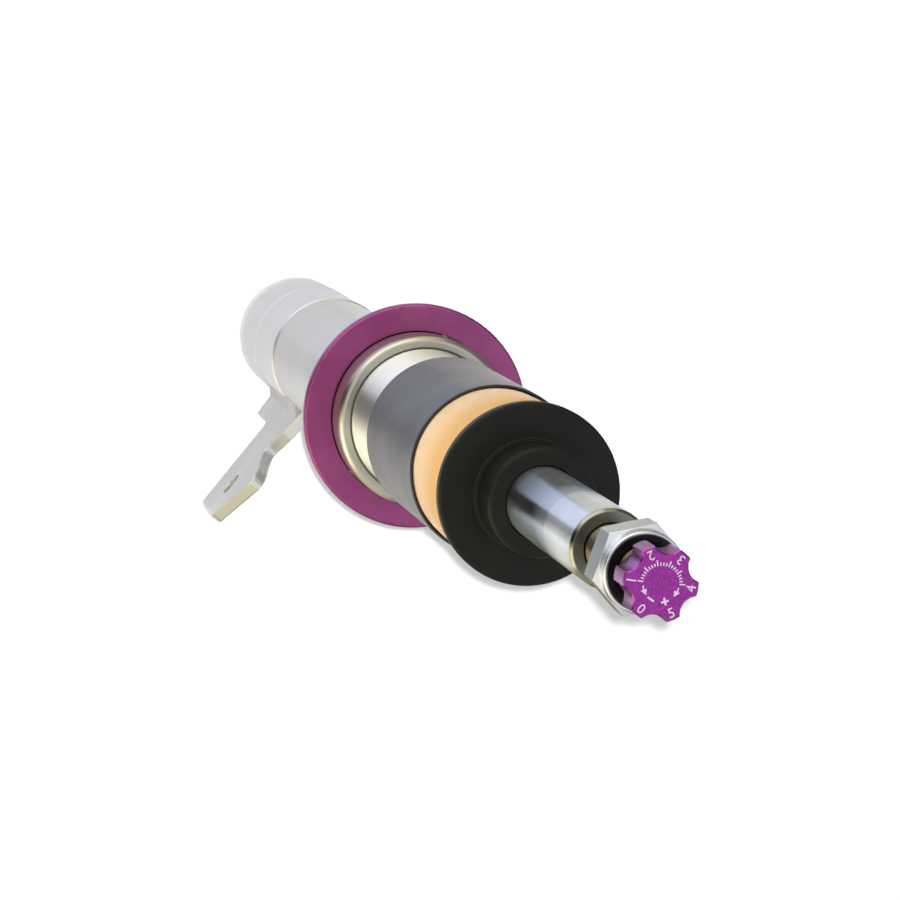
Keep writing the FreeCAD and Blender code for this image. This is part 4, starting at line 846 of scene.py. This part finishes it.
@dataclass
class DampingDial:
    """The dial on the rod end with its printed scale, and what it turns.

    Attributes:
        face_mm: Level of the dial's face.
        proud_mm: How far the marking stands on the face.
        digits: Each digit with the direction of its lobe in degrees.
        digit_ring_mm: Radius of the digits' middles.
        digit_mm: Height of a digit.
        scale_ring_mm: Radius of the scale's inner ends.
        scale_from: Direction of its first mark in degrees.
        scale_to: Direction of its last mark in degrees.
        scale_marks: Number of marks.
        mark_mm: Length of a mark.
        long_mark_mm: Length of every fourth mark.
        stroke_mm: Width of a drawn line.
        sign_mm: Length of the strokes of plus and minus.
        sign_stroke_mm: Their width.
        sign_ring_mm: Radius of their middles.
        minus_at: Direction of the minus in degrees.
        plus_at: Direction of the plus in degrees.
        arrow_ring_mm: Radius of the two arrows.
        arrow_half_mm: Half the width of an arrow's head.
        arrow_neck: The share of an arrow's length that its tail takes.
        arrows: Directions of tail and tip of each arrow in degrees.
    """

    face_mm: float = 623.0
    proud_mm: float = 0.02
    digits: dict[str, float] = field(default_factory=lambda: {
        "0": 0.0, "1": 300.0, "2": 240.0, "3": 180.0, "4": 120.0, "5": 60.0})
    digit_ring_mm: float = 7.75
    digit_mm: float = 2.5
    scale_ring_mm: float = 4.7
    scale_from: float = 127.0
    scale_to: float = 299.0
    scale_marks: int = 21
    mark_mm: float = 0.8
    long_mark_mm: float = 1.5
    stroke_mm: float = 0.36
    sign_mm: float = 2.0
    sign_stroke_mm: float = 0.55
    sign_ring_mm: float = 4.5
    minus_at: float = 4.0
    plus_at: float = 53.0
    arrow_ring_mm: float = 4.6
    arrow_half_mm: float = 0.8
    arrow_neck: float = 0.4
    arrows: tuple[tuple[float, float], ...] = ((312.0, 345.0), (117.0, 84.0))

    def spot(self, ring_mm: float, direction: float) -> Vector:
        """Finds a point on the face.

        Args:
            ring_mm: Its distance from the middle.
            direction: Its direction in degrees.

        Returns:
            The point in metres.
        """
        turn = math.radians(direction)
        return Vector((math.cos(turn) * ring_mm, math.sin(turn) * ring_mm, self.face_mm)) * MM

    def print_shape(self, mesh: Mesh, corners: list[Vector]) -> None:
        """Prints one flat shape of the marking.

        Args:
            mesh: The marking so far.
            corners: The shape's corners on the face, in metres.
        """
        lift = Vector((0, 0, self.proud_mm * MM))
        lower = [mesh.verts.new(corner) for corner in corners]
        upper = [mesh.verts.new(corner + lift) for corner in corners]
        mesh.faces.new(upper)
        mesh.faces.new(lower)
        for i in range(len(corners)):
            after = (i + 1) % len(corners)
            mesh.faces.new((lower[i], lower[after], upper[after], upper[i]))

    def print_bar(self, mesh: Mesh, middle: Vector, direction: float, length_mm: float,
                  width_mm: float) -> None:
        """Prints a straight bar.

        Args:
            mesh: The marking so far.
            middle: The bar's middle in metres.
            direction: The way it points in degrees.
            length_mm: Its length.
            width_mm: Its width.
        """
        turn = math.radians(direction)
        along = Vector((math.cos(turn), math.sin(turn), 0)) * length_mm / 2 * MM
        across = Vector((-math.sin(turn), math.cos(turn), 0)) * width_mm / 2 * MM
        self.print_shape(mesh, [middle - along - across, middle + along - across,
                                middle + along + across, middle - along + across])

    def print_arrow(self, mesh: Mesh, start: float, end: float) -> None:
        """Prints a bent arrow whose head is at its end.

        Args:
            mesh: The marking so far.
            start: Direction of its tail in degrees.
            end: Direction of its tip in degrees.
        """
        half = self.stroke_mm / 2
        neck = start + (end - start) * self.arrow_neck
        steps = 5
        turns = [start + (neck - start) * i / steps for i in range(steps + 1)]
        outer = [self.spot(self.arrow_ring_mm + half, turn) for turn in turns]
        inner = [self.spot(self.arrow_ring_mm - half, turn) for turn in reversed(turns)]
        self.print_shape(mesh, outer + inner)
        self.print_shape(mesh, [self.spot(self.arrow_ring_mm + self.arrow_half_mm, neck),
                                self.spot(self.arrow_ring_mm, end),
                                self.spot(self.arrow_ring_mm - self.arrow_half_mm, neck)])

    def print_digit(self, mesh: Mesh, digit: str, direction: float) -> None:
        """Prints a digit on its lobe, its top towards the middle of the dial.

        Args:
            mesh: The marking so far.
            digit: The digit.
            direction: The direction of its lobe in degrees.
        """
        text = bpy.data.curves.new("digit", "FONT")
        text.body = digit
        # Drawn at any size and thickness, since it is scaled below; the offset makes it bolder.
        text.size = 1.0
        text.offset = 0.004
        text.extrude = 0.1
        stamp = bpy.data.objects.new("digit", text)
        bpy.context.collection.objects.link(stamp)
        bpy.context.view_layer.update()
        whole = bpy.context.evaluated_depsgraph_get()
        drawn = bpy.data.meshes.new_from_object(stamp.evaluated_get(whole))
        low = Vector([min(v.co[i] for v in drawn.vertices) for i in range(3)])
        high = Vector([max(v.co[i] for v in drawn.vertices) for i in range(3)])
        grow = self.digit_mm * MM / (high.y - low.y)
        drawn.transform(Matrix.Translation(-(low + high) / 2))
        drawn.transform(Matrix.Diagonal((grow, grow, self.proud_mm * MM / (high.z - low.z), 1)))
        middle = self.spot(self.digit_ring_mm, direction) + Vector((0, 0, self.proud_mm / 2 * MM))
        upright = Matrix.Rotation(math.radians(direction + 90), 4, "Z")
        drawn.transform(Matrix.Translation(middle) @ upright)
        mesh.from_mesh(drawn)
        bpy.data.objects.remove(stamp)
        bpy.data.curves.remove(text)
        bpy.data.meshes.remove(drawn)

    def build_marking(self) -> bpy.types.Object:
        """Prints digits, scale, signs and arrows.

        Returns:
            The marking.
        """
        mesh = bmesh.new()
        for digit, direction in self.digits.items():
            self.print_digit(mesh, digit, direction)
        span = self.scale_to - self.scale_from
        for i in range(self.scale_marks):
            direction = self.scale_from + span * i / (self.scale_marks - 1)
            length = self.long_mark_mm if i % 4 == 0 else self.mark_mm
            self.print_bar(mesh, self.spot(self.scale_ring_mm + length / 2, direction), direction,
                           length, self.stroke_mm)
        for start, end in self.arrows:
            self.print_arrow(mesh, start, end)
        for place in (self.minus_at, self.plus_at):
            self.print_bar(mesh, self.spot(self.sign_ring_mm, place), place + 90, self.sign_mm,
                           self.sign_stroke_mm)
        arm = (self.sign_mm - self.sign_stroke_mm) / 2
        for way in (-1, 1):
            ring = self.sign_ring_mm + way * (self.sign_stroke_mm + arm) / 2
            self.print_bar(mesh, self.spot(ring, self.plus_at), self.plus_at, arm,
                           self.sign_stroke_mm)
        bmesh.ops.recalc_face_normals(mesh, faces=mesh.faces)
        return make_piece("dial_marking", mesh, LASER_MARK, "dial")

    def build(self, frame: dict) -> None:
        """Prints the marking and dresses dial, screw, shaft, needle and detent."""
        self.build_marking()
        dress(frame, {
            DIAL_ANODISED: ("adjuster_dial",),
            BLACK_OXIDE: ("dial_screw",),
            TURNED_ALUMINIUM: ("adjuster_shaft",),
            TURNED_BRASS: ("rebound_needle",),
            SPRING_STEEL: ("detent_ball", "detent_spring")})


@dataclass(frozen=True)
class Lamp:
    """A soft box.

    Attributes:
        name: Its name.
        way: Where it stands as seen by the camera: right, up and back.
        distance: How far it stands from the strut, in metres.
        size: Its two sides in metres.
        watts: Its power.
        colour: The colour of its light.
    """

    name: str
    way: tuple[float, float, float]
    distance: float
    size: tuple[float, float]
    watts: float
    colour: str


class Card(Enum):
    """The tones of the studio's cards, seen only in shiny surfaces."""

    WHITE = "f6f5f0"
    CREAM = "fbf3cc"
    PAPER = "d2d0ce"
    LILAC = "bcc4d8"
    SILVER = "b9bec4"
    SAND = "bcb49e"
    GREY = "82858a"
    SLATE = "5f646b"
    SMOKE = "404347"
    BLACK = "191918"


@dataclass(frozen=True)
class CardRing:
    """One ring of tinted and dark cards, flat on the floor or with its outer edge standing up.

    Attributes:
        inner_mm: Radius at which it begins.
        outer_mm: Radius at which it ends.
        cards: Direction from the strut at which each card begins, in degrees, and its tone.
        strength: How brightly the ring is lit.
        soft: Half the width of the blend from one card to the next, in degrees.
        height_mm: How high the outer edge stands up.
    """

    inner_mm: float
    outer_mm: float
    cards: tuple[tuple[float, Card], ...]
    strength: float = 1.25
    soft: float = 2.0
    height_mm: float = 0.0


@dataclass
class ColourCards:
    """Tinted and dark cards all round the set, which only shiny surfaces show.

    Plated and polished parts need them for their light and dark lines. Each ring is what one part
    of the strut shows to the camera: the foot, the bush and nut, the rod, the tube's upper end.

    Attributes:
        rings: The rings, from the strut outwards.
        lift_mm: How far they lie over the floor.
        around: Faces round a ring.
    """

    rings: tuple[CardRing, ...] = (
        CardRing(30.0, 120.0, ((-180.0, Card.PAPER),), 1.2),
        CardRing(120.0, 205.0, (
            (-180.0, Card.WHITE), (-146.0, Card.LILAC), (-74.0, Card.SILVER), (-48.0, Card.WHITE),
            (46.0, Card.SAND), (68.0, Card.SMOKE), (92.0, Card.WHITE)), 2.1, 5.0),
        CardRing(205.0, 600.0, (
            (-180.0, Card.SLATE), (-165.0, Card.SMOKE), (-131.0, Card.LILAC), (-76.0, Card.BLACK),
            (-40.0, Card.SILVER), (-22.0, Card.GREY), (-4.0, Card.SLATE), (6.0, Card.SMOKE),
            (14.0, Card.BLACK), (60.0, Card.SILVER), (110.0, Card.GREY), (150.0, Card.SLATE)), 1.7),
        CardRing(600.0, 1700.0, (
            (-180.0, Card.GREY), (-165.0, Card.CREAM), (-125.0, Card.WHITE), (-80.0, Card.BLACK),
            (-52.0, Card.CREAM), (30.0, Card.SLATE), (50.0, Card.WHITE),
            (110.0, Card.LILAC), (150.0, Card.GREY)), 1.0, 3.0, 2200.0))
    lift_mm: float = 4.0
    around: int = 96

    def build(self, floor_mm: float) -> None:
        """Lays and stands the cards.

        Args:
            floor_mm: Level of the floor.
        """
        low = floor_mm + self.lift_mm
        for number, ring in enumerate(self.rings):
            mesh = bmesh.new()
            edges = [(ring.inner_mm, low), (ring.outer_mm, low)]
            if ring.height_mm:
                edges.append((ring.outer_mm, low + ring.height_mm))
            turns = [math.tau * i / self.around for i in range(self.around)]
            rims = [[mesh.verts.new(
                Vector((math.cos(turn) * radius, math.sin(turn) * radius, level)) * MM)
                for turn in turns] for radius, level in edges]
            for near, far in zip(rims, rims[1:]):
                for i in range(self.around):
                    after = (i + 1) % self.around
                    mesh.faces.new((near[i], far[i], far[after], near[after]))
            name = f"colour_cards_{number}"
            cards = place_mesh(name, mesh, self.material(name, ring))
            cards.visible_camera = False
            cards.visible_diffuse = False
            cards.visible_shadow = False

    def material(self, name: str, ring: CardRing) -> bpy.types.Material:
        """Colours a ring by the direction from the strut.

        Args:
            name: The material's name.
            ring: The ring.

        Returns:
            The glowing material.
        """
        glow = bpy.data.materials.new(name)
        tree = bare_tree(glow)
        place = add_node(tree, "TexCoord").outputs["Object"]
        turn = add_node(tree, "TexGradient", {"Vector": place}, gradient_type="RADIAL")
        ramp = add_node(tree, "ValToRGB", {"Fac": turn.outputs["Fac"]})
        stops = ramp.color_ramp.elements
        stops[0].color = linear(ring.cards[0][1].value)
        stops[1].color = linear(ring.cards[-1][1].value)
        # The gradient runs from 0 at -180 degrees to 1 at 180 degrees.
        for (_, before), (start, card) in zip(ring.cards, ring.cards[1:]):
            stops.new((start - ring.soft) / 360 + 0.5).color = linear(before.value)
            stops.new((start + ring.soft) / 360 + 0.5).color = linear(card.value)
        light = add_node(tree, "Emission", {
            "Color": ramp.outputs["Color"], "Strength": ring.strength})
        add_node(tree, "OutputMaterial", {"Surface": light.outputs[0]})
        return glow


@dataclass
class Studio:
    """A pale floor under the strut, soft boxes, and the camera at the photograph's angle.

    Attributes:
        eye_mm: Where the camera stands.
        turn: How it is turned, in degrees about X, Y and Z.
        lens_mm: Its focal length.
        film_mm: The width of its picture.
        near_m: The nearest that it sees, in metres.
        floor_mm: Level of the floor, just under the foot.
        floor_size: Side of the floor in metres.
        floor_grey: Its matt colour, which its own lamp and its glow bring up to white.
        floor_glow: How much of the floor's white doesn't depend on light, near the strut.
        floor_shade_m: Distances from the strut between which shadows fade to plain white.
        aim_mm: The point that the lamps face.
        sky: The colour of the light from all round.
        sky_strength: Its strength on the strut.
        lamps: The soft boxes.
        floor_lamp_mm: Where the floor's own lamp hangs beside the camera: right, up and back.
        floor_lamp_radius_mm: Its radius.
        floor_lamp_watts: Its power.
        cards: The cards that shiny parts show.
    """

    eye_mm: tuple[float, float, float] = (18.55, -216.87, 1255.6)
    turn: tuple[float, float, float] = (-7.9848, -11.1627, 130.0555)
    lens_mm: float = 108.0
    film_mm: float = 36.0
    near_m: float = 0.05
    floor_mm: float = -30.2
    floor_size: float = 8.0
    floor_grey: str = "8f8f8f"
    floor_glow: float = 0.35
    floor_shade_m: tuple[float, float] = (0.5, 1.5)
    aim_mm: tuple[float, float, float] = (0.0, 0.0, 420.0)
    sky: str = "f4f6fb"
    sky_strength: float = 0.62
    lamps: tuple[Lamp, ...] = (
        Lamp("overhead_box", (-0.25, 0.85, 0.75), 1.5, (1.3, 1.3), 8.5, "fbfcff"),
        Lamp("warm_box", (-0.75, -0.46, 0.47), 1.3, (0.8, 1.2), 7.0, "fff0d4"))
    floor_lamp_mm: tuple[float, float, float] = (4.2, 4.2, 0.0)
    floor_lamp_radius_mm: float = 3.0
    floor_lamp_watts: float = 80.0
    cards: ColourCards = field(default_factory=ColourCards)

    def seen_rays(self, tree: Tree) -> Socket:
        """Tells the rays that show the background from those that light the strut.

        Args:
            tree: The tree that needs them.

        Returns:
            One for what the camera sees directly, mirrored or through glass.
        """
        rays = add_node(tree, "LightPath").outputs
        mirrored = add_node(tree, "Math", {
            0: rays["Is Camera Ray"], 1: rays["Is Glossy Ray"]}, operation="MAXIMUM")
        return add_node(tree, "Math", {
            0: mirrored.outputs[0], 1: rays["Is Transmission Ray"]}, operation="MAXIMUM").outputs[0]

    def build_sky(self) -> None:
        """Makes the light from all round, and the white that shows behind the strut."""
        world = bpy.data.worlds.new("studio")
        bpy.context.scene.world = world
        tree = bare_tree(world)
        light = add_node(tree, "Background", {
            "Color": linear(self.sky), "Strength": self.sky_strength})
        white = add_node(tree, "Background", {"Color": linear("ffffff"), "Strength": 1.0})
        both = add_node(tree, "MixShader", {
            0: self.seen_rays(tree), 1: light.outputs[0], 2: white.outputs[0]})
        add_node(tree, "OutputWorld", {"Surface": both.outputs[0]})

    def floor_paper(self) -> bpy.types.Material:
        """Makes the floor's paper: what shows of it is white and keeps the strut's shadow.

        Returns:
            The floor's material.
        """
        paper = bpy.data.materials.new("white_paper")
        tree = bare_tree(paper)
        matt = add_node(tree, "BsdfDiffuse", {"Color": linear(self.floor_grey)})
        place = add_node(tree, "TexCoord").outputs["Object"]
        away = add_node(tree, "VectorMath", {0: place}, operation="LENGTH")
        near, far = self.floor_shade_m
        glow = add_node(tree, "MapRange", {
            "Value": away.outputs["Value"], "From Min": near, "From Max": far,
            "To Min": self.floor_glow, "To Max": 1.0})
        white = add_node(tree, "Emission", {
            "Color": linear("ffffff"), "Strength": glow.outputs["Result"]})
        shown = add_node(tree, "AddShader", {0: matt.outputs[0], 1: white.outputs[0]})
        both = add_node(tree, "MixShader", {
            0: self.seen_rays(tree), 1: matt.outputs[0], 2: shown.outputs[0]})
        add_node(tree, "OutputMaterial", {"Surface": both.outputs[0]})
        return paper

    def build_floor(self) -> bpy.types.Object:
        """Lays the pale floor.

        Returns:
            The floor.
        """
        mesh = bmesh.new()
        bmesh.ops.create_grid(mesh, x_segments=1, y_segments=1, size=self.floor_size / 2)
        bmesh.ops.translate(mesh, verts=mesh.verts, vec=(0, 0, self.floor_mm * MM))
        floor = place_mesh("floor", mesh, self.floor_paper())
        return floor

    def build_camera(self) -> Matrix:
        """Sets the camera up.

        Returns:
            The camera's rotation.
        """
        data = bpy.data.cameras.new("camera")
        data.lens = self.lens_mm
        data.sensor_width = self.film_mm
        data.sensor_fit = "HORIZONTAL"
        data.clip_start = self.near_m
        camera = bpy.data.objects.new("camera", data)
        camera.location = Vector(self.eye_mm) * MM
        camera.rotation_euler = Euler([math.radians(a) for a in self.turn])
        bpy.context.collection.objects.link(camera)
        bpy.context.scene.camera = camera
        return camera.rotation_euler.to_matrix()

    def build_lamps(self, seen: Matrix) -> None:
        """Hangs the soft boxes.

        Args:
            seen: The camera's rotation, from which their places are given.
        """
        aim = Vector(self.aim_mm) * MM
        for lamp in self.lamps:
            data = bpy.data.lights.new(lamp.name, "AREA")
            data.shape = "RECTANGLE"
            data.size, data.size_y = lamp.size
            data.energy = lamp.watts
            data.color = linear(lamp.colour)[:3]
            box = bpy.data.objects.new(lamp.name, data)
            away = (seen @ Vector(lamp.way)).normalized()
            box.location = aim + away * lamp.distance
            box.rotation_euler = away.to_track_quat("Z", "Y").to_euler()
            bpy.context.collection.objects.link(box)
            LOG.info("%s: %.1f W", lamp.name, lamp.watts)

    def build_floor_lamp(self, floor: bpy.types.Object, seen: Matrix) -> None:
        """Hangs the lamp that lights the floor alone, evenly, and throws the strut's shadow.

        Args:
            floor: The floor.
            seen: The camera's rotation, from which the lamp's place is given.
        """
        data = bpy.data.lights.new("floor_lamp", "POINT")
        data.energy = self.floor_lamp_watts
        data.shadow_soft_size = self.floor_lamp_radius_mm * MM
        tree = bare_tree(data)
        even = add_node(tree, "LightFalloff", {"Strength": 1.0})
        glow = add_node(tree, "Emission", {"Strength": even.outputs["Constant"]})
        add_node(tree, "OutputLight", {"Surface": glow.outputs[0]})
        lamp = bpy.data.objects.new("floor_lamp", data)
        lamp.location = (Vector(self.eye_mm) + seen @ Vector(self.floor_lamp_mm)) * MM
        lit = bpy.data.collections.new("lit_by_floor_lamp")
        lit.objects.link(floor)
        lamp.light_linking.receiver_collection = lit
        bpy.context.collection.objects.link(lamp)

    def build(self) -> None:
        """Sets up sky, floor, camera, lamps and cards, and the plain view transform."""
        bpy.context.scene.view_settings.view_transform = "Standard"
        self.build_sky()
        floor = self.build_floor()
        seen = self.build_camera()
        self.build_lamps(seen)
        self.build_floor_lamp(floor, seen)
        self.cards.build(self.floor_mm)


def main() -> None:
    """Builds the strut's looks and the studio."""
    logging.basicConfig(level=logging.INFO, format="%(name)s: %(message)s")
    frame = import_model()
    Studio().build()
    for assembly in (Foot(), SeatAdjuster(), TubeHead(), BumpStop(), RodEnd(), DampingDial()):
        assembly.build(frame)


if __name__ == "__main__":
    main()
